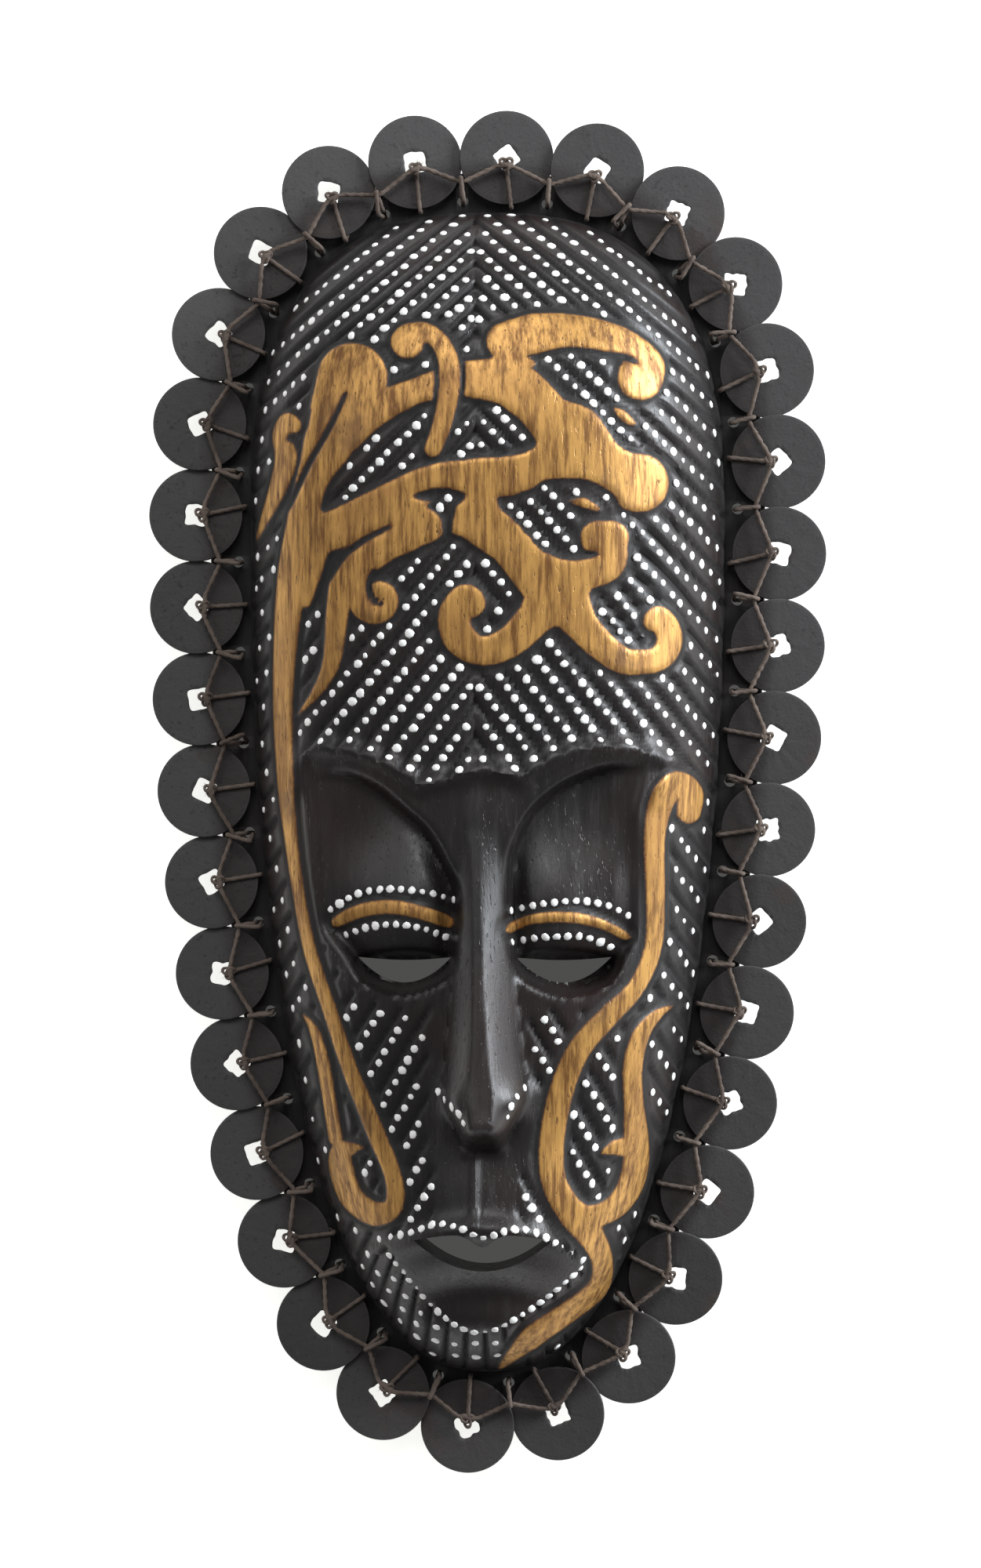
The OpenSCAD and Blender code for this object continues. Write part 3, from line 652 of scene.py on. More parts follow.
class Web:
    """A thin hand on a node tree: makes nodes and joins their sockets."""

    def __init__(self, tree):
        self.tree = tree

    def put(self, kind, values=None, **settings):
        """A node with its settings; values fill its inputs, by socket name or number."""
        node = self.tree.nodes.new(kind)
        for key, value in settings.items():
            setattr(node, key, value)
        for key, value in (values or {}).items():
            if isinstance(value, bpy.types.NodeSocket):
                self.tree.links.new(value, node.inputs[key])
            else:
                node.inputs[key].default_value = value
        return node

    def sum(self, operation, a, b=0.0, c=0.0):
        """One Math node's result."""
        return self.put("ShaderNodeMath", {0: a, 1: b, 2: c}, operation=operation).outputs[0]

    def step(self, value, low, high):
        """0 below low, 1 above high, and an S curve between."""
        node = self.put("ShaderNodeMapRange", {"Value": value, "From Min": low, "From Max": high},
                        interpolation_type="SMOOTHSTEP")
        return node.outputs["Result"]

    def blend(self, share, a, b):
        """One colour mixed into another."""
        node = self.put("ShaderNodeMix", data_type="RGBA")
        for socket, value in zip((node.inputs[0], node.inputs[6], node.inputs[7]), (share, a, b)):
            if isinstance(value, bpy.types.NodeSocket):
                self.tree.links.new(value, socket)
            else:
                socket.default_value = value
        return node.outputs[2]

    def noise(self, place, scale, detail=3.0, roughness=0.55):
        """A soft noise from 0 to 1."""
        return self.put("ShaderNodeTexNoise", {"Vector": place, "Scale": scale, "Detail": detail,
                                               "Roughness": roughness}).outputs[0]

    def stretched(self, place, scale):
        """A place scaled by its own amount on each axis."""
        return self.put("ShaderNodeMapping", {"Vector": place, "Scale": scale}).outputs[0]


def new_effect(name, inputs, outputs):
    """An empty shader node group with named sockets, and the web to fill it with."""
    tree = bpy.data.node_groups.new(name, "ShaderNodeTree")
    for label, kind, value in inputs:
        socket = tree.interface.new_socket(label, in_out="INPUT", socket_type=kind)
        if value is not None:
            socket.default_value = value
    for label, kind in outputs:
        tree.interface.new_socket(label, in_out="OUTPUT", socket_type=kind)
    return tree, Web(tree), tree.nodes.new("NodeGroupInput"), tree.nodes.new("NodeGroupOutput")


# Grime is shared by the wood, the coins and the twine: soft patches with fine specks in them.
grime, web, given, taken = new_effect(
    "grime", [("Place", "NodeSocketVector", None), ("Patch Scale", "NodeSocketFloat", 60.0),
              ("Amount", "NodeSocketFloat", 0.5)],
    [("Patches", "NodeSocketFloat"), ("Specks", "NodeSocketFloat")])
patch = web.noise(given.outputs["Place"], given.outputs["Patch Scale"], 4.0)
level = web.sum("SUBTRACT", 0.75, web.sum("MULTIPLY", given.outputs["Amount"], 0.3))
patches = web.step(patch, level, web.sum("ADD", level, 0.14))
fine_scale = web.sum("MULTIPLY", given.outputs["Patch Scale"], 14.0)
specks = web.step(web.noise(given.outputs["Place"], fine_scale, 2.0), 0.6, 0.72)
web.tree.links.new(patches, taken.inputs["Patches"])
web.tree.links.new(specks, taken.inputs["Specks"])


def new_finish(name):
    """An empty material with its shader, its web and the place on the object."""
    finish = bpy.data.materials.new(name)
    finish.use_nodes = True
    finish_web = Web(finish.node_tree)
    place = finish_web.put("ShaderNodeTexCoord").outputs["Object"]
    return finish, finish_web, finish.node_tree.nodes["Principled BSDF"], place


def dirty(web, place, scale, amount):
    """Places the grime effect in a material."""
    node = web.put("ShaderNodeGroup", node_tree=grime)
    web.tree.links.new(place, node.inputs["Place"])
    node.inputs["Patch Scale"].default_value = scale
    node.inputs["Amount"].default_value = amount
    return node.outputs["Patches"], node.outputs["Specks"]


# Finish of the wood: black lacquer over a reddish stain, with the grain running up the mask and
# showing in the gloss; gold rubbed on the scrolls, thin along the grain and dark at its edges.
lacquer, web, shader, place = new_finish("lacquer_and_gilding")
gilt = web.sum("SUBTRACT", web.put("ShaderNodeAttribute", attribute_name="gilt").outputs["Fac"], 2.0)
# The groove mark carries painted shade for the grooves, the cut round the scrolls, the foot and the ledge.
groove_shade_mark = web.put("ShaderNodeAttribute", attribute_name="groove_shade").outputs["Fac"]
patches, specks = dirty(web, place, 45.0, 0.55)
along_grain = web.stretched(place, (1.0, 1.0, 0.11))
grain = web.noise(along_grain, 1500.0, 4.0, 0.65)
broad = web.noise(along_grain, 520.0, 3.0)
pits = web.step(web.noise(web.stretched(place, (1.0, 1.0, 0.22)), 1500.0, 2.0), 0.62, 0.72)
edge_wander = web.sum("MULTIPLY_ADD", web.noise(place, 700.0), 0.5, -0.25)
depth = web.sum("ADD", gilt, edge_wander)
is_gold = web.step(depth, 0.0, 0.35)
streak = web.sum("MULTIPLY_ADD", broad, 0.6, web.sum("MULTIPLY", grain, 0.4))
gold_colour = web.blend(web.step(streak, 0.36, 0.62), (0.17, 0.074, 0.02, 1), (0.60, 0.325, 0.092, 1))
rubbed = web.sum("MULTIPLY", web.step(web.noise(place, 32.0, 3.0), 0.5, 0.66), 0.6)
gold_colour = web.blend(rubbed, gold_colour, (0.36, 0.18, 0.05, 1))
gold_colour = web.blend(web.sum("MULTIPLY", patches, 0.65), gold_colour, (0.13, 0.065, 0.03, 1))
gold_colour = web.blend(web.sum("MULTIPLY", pits, 0.7), gold_colour, (0.07, 0.03, 0.014, 1))
gold_colour = web.blend(web.step(depth, 0.75, 0.1), gold_colour, (0.14, 0.055, 0.022, 1))
stain = web.step(web.noise(place, 22.0, 3.0), 0.42, 0.7)
black_colour = web.blend(stain, (0.011, 0.0095, 0.0092, 1), (0.020, 0.012, 0.011, 1))
black_colour = web.blend(web.step(streak, 0.52, 0.7), black_colour, (0.024, 0.020, 0.019, 1))
# Painted shade: the black is darkened further where the groove mark is, in the grooves, round the scrolls,
# at the foot and on the ledge.
black_colour = web.blend(web.sum("MULTIPLY", groove_shade_mark, 0.7), black_colour, (0.004, 0.0035, 0.0035, 1))
web.tree.links.new(web.blend(is_gold, black_colour, gold_colour), shader.inputs["Base Color"])
black_rough = web.sum("MULTIPLY_ADD", streak, 0.5, 0.12)
gold_rough = web.sum("MULTIPLY_ADD", streak, -0.3, 0.58)
rough = web.sum("MULTIPLY_ADD", is_gold, web.sum("SUBTRACT", gold_rough, black_rough), black_rough)
rough = web.sum("MULTIPLY_ADD", groove_shade_mark, 0.4, rough)
web.tree.links.new(rough, shader.inputs["Roughness"])
web.tree.links.new(web.sum("MULTIPLY", is_gold, 0.45), shader.inputs["Metallic"])
height = web.sum("MULTIPLY_ADD", grain, 0.6, web.sum("MULTIPLY", pits, -0.8))
bump = web.put("ShaderNodeBump", {"Height": height, "Strength": 0.35, "Distance": 0.0003})
web.tree.links.new(bump.outputs["Normal"], shader.inputs["Normal"])
shader.inputs["Specular IOR Level"].default_value = 0.45
body.data.materials.clear()
body.data.materials.append(lacquer)
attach(body, "root")
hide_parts("mask_body")

# White paint dots: one drop of thick paint at a time, in a row on every ridge, round the eyelids,
# along the lips and on the wings of the nose. They are slightly domed and no two are the same.
rng = np.random.default_rng(34)
dot_step = 3.25
dot_rows = [
    [(-40, -30.5), (-33, -26.5), (-25, -25.3), (-16, -26), (-8.5, -28)],
    [(-36, -37), (-30, -35), (-24, -34.3), (-17, -35.2), (-10.5, -37.5)],
    [(6.2, -30.8), (14, -29), (24, -28.3), (31, -29.5), (36, -32)],
    [(6.5, -38.8), (14, -37.6), (22.5, -37.3), (27, -38), (31.5, -40)],
    [(-12.5, -77), (-10, -80), (-7.5, -82.3), (-6, -85)],
    [(9.6, -76), (7.8, -78), (6.3, -80.5), (5.2, -83.5)],
    [(-27.5, -114.7), (-19.5, -113), (-13, -110.8), (-7, -111.8), (-1, -114.3), (4.5, -112.6),
     (10, -112.2), (17, -115.2), (24.5, -120)],
    [(24, -122), (16.5, -128.5), (8, -134.5), (0, -138.3), (-7, -137.2), (-15, -130.8), (-25, -118.8)]]


def on_face(x, y):
    """Spots of the drawing carried back on to the carved face, with the face's normals there: each
    spot is drawn towards the eye's line by as much as the face stands out, till it holds still."""
    across, upward = x, y
    for _ in range(8):
        out = carved_height(across, upward)
        spread = (eye_far - board_level) / (eye_far - out)
        across, upward = eye_side + (x - eye_side) / spread, eye_up + (y - eye_up) / spread
    tilt_x = (carved_height(across + 0.4, upward) - carved_height(across - 0.4, upward)) / 0.8
    tilt_y = (carved_height(across, upward + 0.4) - carved_height(across, upward - 0.4)) / 0.8
    way = np.stack([-tilt_x, -tilt_y, np.ones_like(tilt_x)], axis=-1)
    return np.stack([across, upward, out], axis=-1), way / np.linalg.norm(way, axis=-1, keepdims=True)


row_x, row_y = [], []
for row in dot_rows:
    path = curve_through(row, False, 60)
    run = np.r_[0, np.cumsum(np.linalg.norm(np.diff(path, axis=0), axis=1))]
    places = np.linspace(0, run[-1], max(2, int(round(run[-1] / 2.75)) + 1))
    row_x.append(np.interp(places, run, path[:, 0]))
    row_y.append(np.interp(places, run, path[:, 1]))
row_x, row_y = np.concatenate(row_x), np.concatenate(row_y)
tops = np.linspace(-130, 260, 1600)
top_number = ridge_place(np.full(1600, seam_x), np.where(tops > -100, tops, -100))
ridge_tops = np.interp(np.arange(-14, 44), top_number, tops)
ridge_rise = np.tan(np.radians(ridge_angle(ridge_tops)))
beat = np.arange(0, 48)[None, :] + ((np.arange(58) * 0.37) % 1)[:, None]
arm = beat * dot_step / np.sqrt(1 + ridge_rise[:, None] ** 2)
drop_y = ridge_tops[:, None] - ridge_rise[:, None] * arm
side_sign = np.array([-1, 1])[:, None, None]
grid_x = (seam_x + side_sign * (arm + 0.8)[None]).ravel()
grid_y = np.broadcast_to(drop_y[None], (2,) + drop_y.shape).ravel()
keep = grid_y > -112 - 0.12 * np.abs(grid_x) + 1
fan_turn, fan_r = np.meshgrid(np.arange(-18, 19) * ridge_pitch / fan_radius, 50 + dot_step * np.arange(14))
fan_x = (seam_x + fan_r * np.sin(fan_turn)).ravel()
fan_y = (fan_y0 - fan_r * np.cos(fan_turn)).ravel()
keep_fan = fan_y < -114 - 0.12 * np.abs(fan_x)
grid_x, grid_y = np.r_[grid_x[keep], fan_x[keep_fan]], np.r_[grid_y[keep], fan_y[keep_fan]]
grid_x, grid_y = [v + rng.normal(0, 0.17, len(v)) for v in (grid_x, grid_y)]
inside = (np.abs(grid_x) < 62) & (grid_y < 152) & (grid_y > -152)
grid_x, grid_y = grid_x[inside], grid_y[inside]
keep = (gilt_depth(grid_x, grid_y) < -1.25) & (depth_inside(grid_x, grid_y, plain_face) < -1.0)
keep &= np.hypot(grid_x[:, None] - row_x, grid_y[:, None] - row_y).min(axis=1) > 2.3
grid_x, grid_y = grid_x[keep], grid_y[keep]
middle, _ = on_face(grid_x, grid_y)
keep = dome(middle[:, 0], middle[:, 1]) > 12
dot_x, dot_y = np.r_[row_x, grid_x[keep]], np.r_[row_y, grid_y[keep]]
middle, up_way = on_face(dot_x, dot_y)
sunk = fine_relief(dot_x, dot_y, gilt_depth(dot_x, dot_y), depth_inside(dot_x, dot_y, plain_face),
                   dome(middle[:, 0], middle[:, 1]))
middle = middle + up_way * sunk[:, None]
east = np.cross(np.array([0.0, 1.0, 0.0]), up_way)
east /= np.linalg.norm(east, axis=1, keepdims=True)
north = np.cross(up_way, east)
size = np.clip(rng.normal(1.0, 0.13, (len(dot_x), 1, 1)), 0.72, 1.3)
stretch = rng.normal(1.0, 0.08, (len(dot_x), 1, 1))
around = np.linspace(0, 2 * math.pi, 9)[:-1][None, None, :, None]
ring_r = np.array([0.75, 1.0, 0.72])[None, :, None, None] * size[:, :, None]
ring_h = np.array([-0.35, 0.06, 0.27])[None, :, None, None]
wobble = 1 + 0.07 * rng.normal(size=(len(dot_x), 1, 8, 1))
drop = (middle[:, None, None]
        + east[:, None, None] * (ring_r * np.cos(around) * stretch[:, :, None] * wobble)
        + north[:, None, None] * (ring_r * np.sin(around) * wobble) + up_way[:, None, None] * ring_h)
tips = np.stack([middle - 0.35 * up_way, middle + 0.34 * up_way], axis=1)
drop_points = np.concatenate([drop.reshape(len(dot_x), 24, 3), tips], axis=1).reshape(-1, 3)
k = np.arange(8)
k2 = np.roll(k, -1)
quads = np.concatenate([np.stack([k + r, k2 + r, k2 + r + 8, k + r + 8], axis=-1) for r in (0, 8)])
tris = np.concatenate([np.stack([k2, k, np.full(8, 24)], axis=-1),
                       np.stack([k + 16, k2 + 16, np.full(8, 25)], axis=-1)])
offset = (np.arange(len(dot_x)) * 26)[:, None, None]
drop_faces = [(quads[None] + offset).reshape(-1, 4), (tris[None] + offset).reshape(-1, 3)]
paint = new_piece("paint_dots", in_metres(*drop_points.T), drop_faces)
white, web, shader, place = new_finish("white_paint")
patches, specks = dirty(web, place, 90.0, 0.35)
white_colour = web.blend(web.sum("MULTIPLY", patches, 0.15), (0.95, 0.95, 0.94, 1),
                         (0.50, 0.44, 0.38, 1))
white_colour = web.blend(web.sum("MULTIPLY", specks, 0.25), white_colour, (0.60, 0.56, 0.50, 1))
web.tree.links.new(white_colour, shader.inputs["Base Color"])
web.tree.links.new(web.sum("MULTIPLY_ADD", specks, 0.2, 0.42), shader.inputs["Roughness"])
bump = web.put("ShaderNodeBump",
               {"Height": web.noise(place, 1800.0), "Strength": 0.2, "Distance": 0.0002})
web.tree.links.new(bump.outputs["Normal"], shader.inputs["Normal"])
paint.data.materials.append(white)
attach(paint, "root")

# Coins: plain iron blanks with a punched, roughly square hole, gone dull black. Each leans over the
# next, and each is lashed to the ledge. They are browned in patches; their halves towards the face are
# painted darker and browner as painted shade, and their rims are painted lighter, partly as edge wear
# and partly as a painted highlight.
coin_r, coin_t, coin_hole, coin_lean = 12.0, 1.2, 5.6, math.radians(3.8)
coin_mid = ledge_top + 1.0 + 0.4 + coin_t / 2 + coin_r * math.sin(coin_lean)
coin_sides = 64
coin_turn = np.linspace(0, 2 * math.pi, coin_sides + 1)[:-1]


def coin_shape(number, rng):
    """A blank's points: rings from the hole's edge, where they are square, out to a round rim with
    worn edges, then back underneath. Its hole is a little ragged and its face very slightly bent."""
    hole_turn = math.radians(number * 37 % 90)
    a = coin_turn - hole_turn
    square = coin_hole / 2 / (np.abs(np.cos(a)) ** 7 + np.abs(np.sin(a)) ** 7) ** (1 / 7)
    ragged = sum(rng.normal(0, 0.09) * np.cos(m * a + rng.uniform(0, 6.3)) for m in (1, 2, 3, 5, 8))
    hole = square + ragged - 0.1
    share = np.array([0, 0.02, 0.12, 0.3, 0.5, 0.7, 0.85, 0.95, 0.985, 1.0])
    rise = np.array([-0.12, 0, 0, 0, 0, 0, 0, 0, -0.04, -0.22])
    radius = hole[None] + (coin_r - 0.02 - hole[None]) * share[:, None]
    bend = 0.10 * rng.normal() * (radius / coin_r) ** 2
    bend = bend * np.cos(2 * coin_turn[None] + rng.uniform(0, 6.3))
    dent = 0.03 * rng.normal(size=radius.shape) * (share[:, None] > 0.1) * (share[:, None] < 0.9)
    up_side = coin_t / 2 + rise[:, None] + bend + dent
    low_side = -coin_t / 2 - rise[:, None] + bend
    radius = np.concatenate([radius, radius[::-1]])
    level = np.concatenate([up_side, low_side[::-1]])
    return np.stack([radius * np.cos(coin_turn), radius * np.sin(coin_turn), level], axis=-1)


iron, web, shader, place = new_finish("dull_iron")
patches, specks = dirty(web, place, 55.0, 0.6)
inner = web.put("ShaderNodeAttribute", attribute_name="inner").outputs["Fac"]
rim_wear_and_sheen = web.put("ShaderNodeAttribute", attribute_name="rim_wear_and_sheen").outputs["Fac"]
tint = web.put("ShaderNodeAttribute", attribute_name="tint").outputs["Fac"]
scratches = web.step(web.noise(web.stretched(place, (1.0, 1.0, 0.15)), 900.0, 2.0), 0.6, 0.78)
iron_colour = web.blend(tint, (0.042, 0.041, 0.041, 1), (0.058, 0.057, 0.057, 1))
iron_colour = web.blend(web.sum("MULTIPLY", specks, 0.4), iron_colour, (0.022, 0.020, 0.019, 1))
iron_colour = web.blend(web.sum("MULTIPLY", scratches, 0.2), iron_colour, (0.085, 0.083, 0.080, 1))
# Painted shade: the half of each coin towards the face is darkened and browned, standing for the shade and
# brown bounce of the mask's side.
ragged_inner_shade = web.step(web.sum("ADD", inner, web.sum("MULTIPLY_ADD", patches, 0.35, -0.12)), 0.35, 0.75)
iron_colour = web.blend(web.sum("MULTIPLY", ragged_inner_shade, 0.85), iron_colour, (0.021, 0.016, 0.0145, 1))
iron_colour = web.blend(web.sum("MULTIPLY", patches, 0.4), iron_colour, (0.065, 0.043, 0.033, 1))
# The rim is painted lighter: partly edge wear, partly a painted highlight along the edge.
iron_colour = web.blend(web.sum("MULTIPLY", rim_wear_and_sheen, 0.35), iron_colour, (0.10, 0.098, 0.094, 1))
web.tree.links.new(iron_colour, shader.inputs["Base Color"])
web.tree.links.new(web.sum("MULTIPLY_ADD", specks, 0.18, 0.6), shader.inputs["Roughness"])
shader.inputs["Metallic"].default_value = 0.2
pitting = web.noise(place, 1300.0, 4.0)
bump_height = web.sum("ADD", pitting, web.sum("MULTIPLY", web.noise(place, 260.0), 1.2))
bump = web.put("ShaderNodeBump", {"Height": bump_height, "Strength": 0.3, "Distance": 0.0003})
web.tree.links.new(bump.outputs["Normal"], shader.inputs["Normal"])

rng = np.random.default_rng(7)
coin_rings = 20
ring_k = np.arange(coin_rings * coin_sides).reshape(coin_rings, coin_sides)
ring_next = np.roll(ring_k, -1, axis=0)
coin_faces = np.stack([ring_k, ring_next, np.roll(ring_next, -1, axis=1),
                       np.roll(ring_k, -1, axis=1)], axis=-1)
for number in range(1, coin_count + 1):
    u = coin_u(number)
    centre_spot, along, outward = rim_spot(u, ring_out)
    local = coin_shape(number, rng).reshape(-1, 3)
    shape = np.stack([local[:, 0] * math.cos(coin_lean) + local[:, 2] * math.sin(coin_lean), local[:, 1],
                      -local[:, 0] * math.sin(coin_lean) + local[:, 2] * math.cos(coin_lean)], axis=-1)
    x = centre_spot[0] + shape[:, 0] * along[0] + shape[:, 1] * outward[0]
    y = centre_spot[1] + shape[:, 0] * along[1] + shape[:, 1] * outward[1]
    coin = new_piece(f"coin_{number:02d}_blank", in_metres(x, y, coin_mid + shape[:, 2]),
                     [coin_faces.reshape(-1, 4)], 35)
    far = np.hypot(local[:, 0], local[:, 1])
    # The inner mark rises towards the face and carries the coins' painted shade.
    mark(coin, "inner", np.clip(0.5 - local[:, 1] / 14, 0, 1))
    # The rim mark carries both edge wear and a painted highlight along the edge.
    mark(coin, "rim_wear_and_sheen", smooth(coin_r - 0.5, coin_r, far))
    mark(coin, "tint", np.full(len(far), rng.uniform(0, 1)))
    coin.data.materials.append(iron)
    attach(coin, "root")
    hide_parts(f"coin_{number:02d}")

# Twine: two-strand brown cotton, a millimetre thick and hairy. A stitch ties each coin down through
# its hole, another holds each overlapping pair, and a last length zigzags over them, with a knot
# at every hole.
twine_r, twine_clear = 0.56, 0.7
coin_top = coin_mid + coin_t / 2
over_coin = coin_top + twine_clear
over_pair = coin_top + coin_r * math.sin(coin_lean) + twine_clear
strand_gap, pair_spread, swing = 1.2, 1.4, 3.8
running_out = over_pair + strand_gap
behind = ledge_low - twine_clear
coin_edge, hole_edge = ring_out - coin_r, ring_out - coin_hole / 2


def beside(number, at, out, along_by=0.0):
    """A spot by a coin: a way out from the face's wall, a height, and a way along the rim."""
    spot, along, _ = rim_spot(coin_u(number), at)
    spot = spot + np.asarray(along_by)[..., None] * along
    return np.concatenate([spot, np.broadcast_to(out, spot.shape[:-1])[..., None]], axis=-1)


def rounded_loop(corners, cut, spacing):
    """A closed path with its corners cut by short arcs, as evenly spaced points."""
    before, after = np.roll(corners, 1, axis=0) - corners, np.roll(corners, -1, axis=0) - corners
    far_b, far_a = [np.linalg.norm(v, axis=1, keepdims=True) for v in (before, after)]
    start = corners + before / far_b * np.minimum(cut, 0.45 * far_b)
    end = corners + after / far_a * np.minimum(cut, 0.45 * far_a)
    t = np.linspace(0, 1, 5)[None, :, None]
    arcs = start[:, None] * (1 - t) ** 2 + 2 * corners[:, None] * t * (1 - t) + end[:, None] * t ** 2
    path = arcs.reshape(-1, 3)
    closed = np.vstack([path, path[:1]])
    run = np.r_[0, np.cumsum(np.linalg.norm(np.diff(closed, axis=0), axis=1))]
    places = np.linspace(0, run[-1], max(8, int(run[-1] / spacing)) + 1)[:-1]
    return np.stack([np.interp(places, run, closed[:, axis]) for axis in range(3)], axis=-1)


def twisted(path, turn_about, radius, sides=10, lay=2.3):
    """A closed twine: a two-lobed section carried round a closed path, twisting a whole number of
    times on the way; radius may change along it. Its rings stand square to the path."""
    ahead = np.roll(path, -1, axis=0) - np.roll(path, 1, axis=0)
    ahead /= np.linalg.norm(ahead, axis=1, keepdims=True)
    across = np.cross(ahead, turn_about)
    across /= np.linalg.norm(across, axis=1, keepdims=True)
    up_way = np.cross(ahead, across)
    n = len(path)
    length = np.linalg.norm(path - np.roll(path, 1, axis=0), axis=1).sum()
    spin = np.arange(n) / n * max(1, round(length / lay)) * math.pi
    angle = np.linspace(0, 2 * math.pi, sides + 1)[:-1]
    lobes = 0.76 + 0.30 * np.abs(np.cos(angle[None] - spin[:, None]))
    spread = (np.broadcast_to(radius, n)[:, None] * lobes)[..., None]
    points = path[:, None] + spread * (np.cos(angle)[None, :, None] * across[:, None]
                                       + np.sin(angle)[None, :, None] * up_way[:, None])
    k = np.arange(n * sides).reshape(n, sides)
    k_on = np.roll(k, -1, axis=0)
    loop = np.stack([k, np.roll(k, -1, axis=1), np.roll(k_on, -1, axis=1), k_on], axis=-1).reshape(-1, 4)
    return points.reshape(-1, 3), loop


def hairs(path, count, rng):
    """Loose fibres: three-sided slivers that stand out of the twine and bend away, base to tip."""
    pick = rng.integers(0, len(path), count)
    root = path[pick] + rng.normal(0, 0.12, (count, 3))
    way = rng.normal(size=(count, 3))
    way /= np.linalg.norm(way, axis=1, keepdims=True)
    way[:, 2] = np.abs(way[:, 2]) * 0.7
    side = np.cross(way, rng.normal(size=(count, 3)))
    side /= np.linalg.norm(side, axis=1, keepdims=True)
    third = np.cross(way, side)
    length = rng.uniform(0.7, 1.5, (count, 1))
    bend = side * length * 0.45
    sets = []
    for share, thick in ((0.0, 0.055), (0.6, 0.045)):
        here = root + way * length * share + bend * share ** 2
        for m in range(3):
            w = 2 * math.pi * m / 3
            sets.append(here + thick * (math.cos(w) * side + math.sin(w) * third))
    sets.append(root + way * length + bend)
    points = np.stack(sets, axis=1).reshape(-1, 3)
    base = (np.arange(count) * 7)[:, None]
    quads = np.concatenate([base + np.array([[m, (m + 1) % 3, (m + 1) % 3 + 3, m + 3]])
                            for m in range(3)])
    tips = np.concatenate([base + np.array([[m + 3, (m + 1) % 3 + 3, 6]]) for m in range(3)]
                          + [base + np.array([[2, 1, 0]])])
    return points, quads, tips


cotton, web, shader, place = new_finish("brown_twine")
patches, specks = dirty(web, place, 80.0, 0.6)
fibre = web.noise(place, 2600.0, 3.0, 0.6)
cotton_colour = web.blend(web.step(web.noise(place, 120.0, 3.0), 0.35, 0.65),
                          (0.058, 0.040, 0.032, 1), (0.140, 0.108, 0.090, 1))
cotton_colour = web.blend(web.sum("MULTIPLY", fibre, 0.6), cotton_colour, (0.16, 0.125, 0.105, 1))
cotton_colour = web.blend(web.sum("MULTIPLY", patches, 0.6), cotton_colour, (0.030, 0.020, 0.017, 1))
cotton_colour = web.blend(web.sum("MULTIPLY", specks, 0.3), cotton_colour, (0.20, 0.15, 0.12, 1))
web.tree.links.new(cotton_colour, shader.inputs["Base Color"])
shader.inputs["Roughness"].default_value = 0.95
bump = web.put("ShaderNodeBump", {"Height": fibre, "Strength": 0.6, "Distance": 0.0002})
web.tree.links.new(bump.outputs["Normal"], shader.inputs["Normal"])


def twine_piece(name, tubes, hair_count, rng, node):
    """One piece of all the twines given as (path, direction to turn about, radius), with hairs."""
    points, quads, first, paths = [], [], 0, []
    for path, turn_about, radius in tubes:
        spots, loop = twisted(path, turn_about, radius)
        points.append(spots)
        quads.append(loop + first)
        first += len(spots)
        paths.append(path)
    hair_points, hair_quads, hair_tips = hairs(np.concatenate(paths), hair_count, rng)
    points = np.concatenate(points + [hair_points])
    points[:, 2] = np.maximum(points[:, 2], 0.15)
    piece = new_piece(name, in_metres(*points.T),
                      [np.concatenate(quads + [hair_quads + first]), hair_tips + first])
    piece.data.materials.append(cotton)
    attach(piece, "root")
    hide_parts(node)


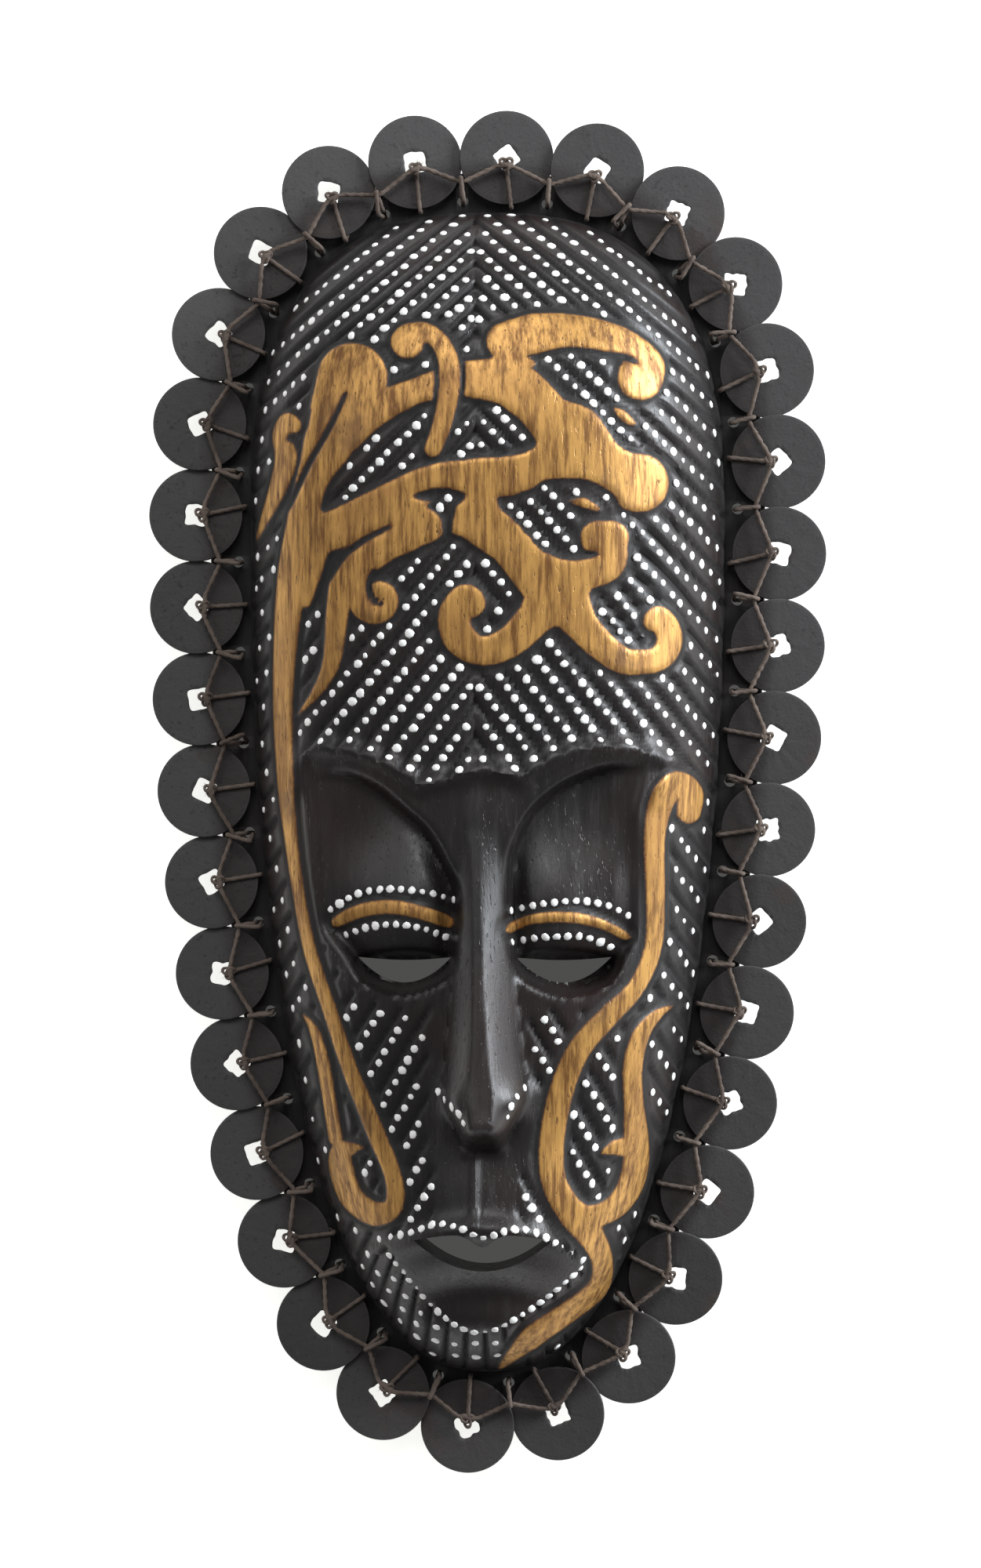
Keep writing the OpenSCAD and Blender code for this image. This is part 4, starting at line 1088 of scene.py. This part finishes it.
rng = np.random.default_rng(21)
coin_ties, pair_ties = [], []
for number in range(1, coin_count + 1):
    _, along, _ = rim_spot(coin_u(number), 0)
    slant = rng.uniform(-2.6, 2.6)
    corners = np.array([beside(number, at, out, by) for at, out, by in [
        (hole_edge + twine_clear, coin_mid, 0), (hole_edge + twine_clear, over_coin, 0),
        (coin_edge - twine_clear, over_coin, slant),
        (coin_edge - twine_clear, ledge_top + twine_clear, slant),
        (coin_tie_at, ledge_top + twine_clear, 0), (coin_tie_at, behind, 0),
        (ledge_w + twine_clear, behind, 0), (ledge_w + twine_clear, ledge_top, 0)]])
    coin_ties.append((rounded_loop(corners, 0.6, 0.5), np.append(along, 0.0), twine_r))
    half = number + 0.5
    _, along, _ = rim_spot(coin_u(half), 0)
    slant = rng.uniform(-2.2, 2.2)
    inner, outer = pair_tie_at - pair_spread / 2, pair_tie_at + pair_spread / 2
    top = running_out + strand_gap
    corners = np.array([beside(half, at, out, by) for at, out, by in [
        (outer, behind, 0), (outer, over_pair, 0), (hole_edge - swing + strand_gap, over_pair, 0),
        (hole_edge - swing + strand_gap, top, 0), (inner, top, slant), (inner, behind, 0)]])
    pair_ties.append((rounded_loop(corners, 0.6, 0.5), np.append(along, 0.0), twine_r))
numbers_on = np.repeat(np.arange(1, coin_count + 1), 4) + np.tile([0, 0, 0.5, 1.0], coin_count)
at_all = hole_edge + np.tile([0.6, 0.2, -swing, 0.2], coin_count)
by_all = np.tile([0, 2.4, 0, -2.4], coin_count)
corners = beside(numbers_on, at_all, np.full(len(at_all), running_out), by_all)
corners[:, :2] += rng.normal(0, 0.25, (len(corners), 2))
running = rounded_loop(corners, 1.1, 0.5)
knots = beside(np.arange(1, coin_count + 1), hole_edge + 0.9, np.full(coin_count, running_out))
nearness = np.linalg.norm(running[:, None] - knots[None], axis=2).min(axis=1)
thick = twine_r * (1 + 0.7 * bell(nearness, 1.5)) * (1 + 0.10 * rng.normal(size=len(running)))
tubes = [(running, np.array([0.0, 0.0, 1.0]), thick)]
w = np.linspace(0, 2 * math.pi, 41)[:-1]
knot_strand = 0.42
for knot in knots:
    turn = rng.uniform(0, 6.3)
    size_of = rng.uniform(0.5, 0.62)
    kx = (np.sin(w + turn) + 2 * np.sin(2 * (w + turn))) * size_of
    ky = (np.cos(w + turn) - 2 * np.cos(2 * (w + turn))) * size_of
    tangle = np.stack([kx, ky, -0.5 * np.sin(3 * (w + turn))], axis=-1)
    tubes.append((knot + tangle, np.array([0.0, 0.0, 1.0]), knot_strand))
twine_piece("coin_ties", coin_ties, 700, rng, "coin_stitches")
twine_piece("pair_ties", pair_ties, 700, rng, "junction_stitches")
twine_piece("running_thread", tubes, 1400, rng, "running_twine")
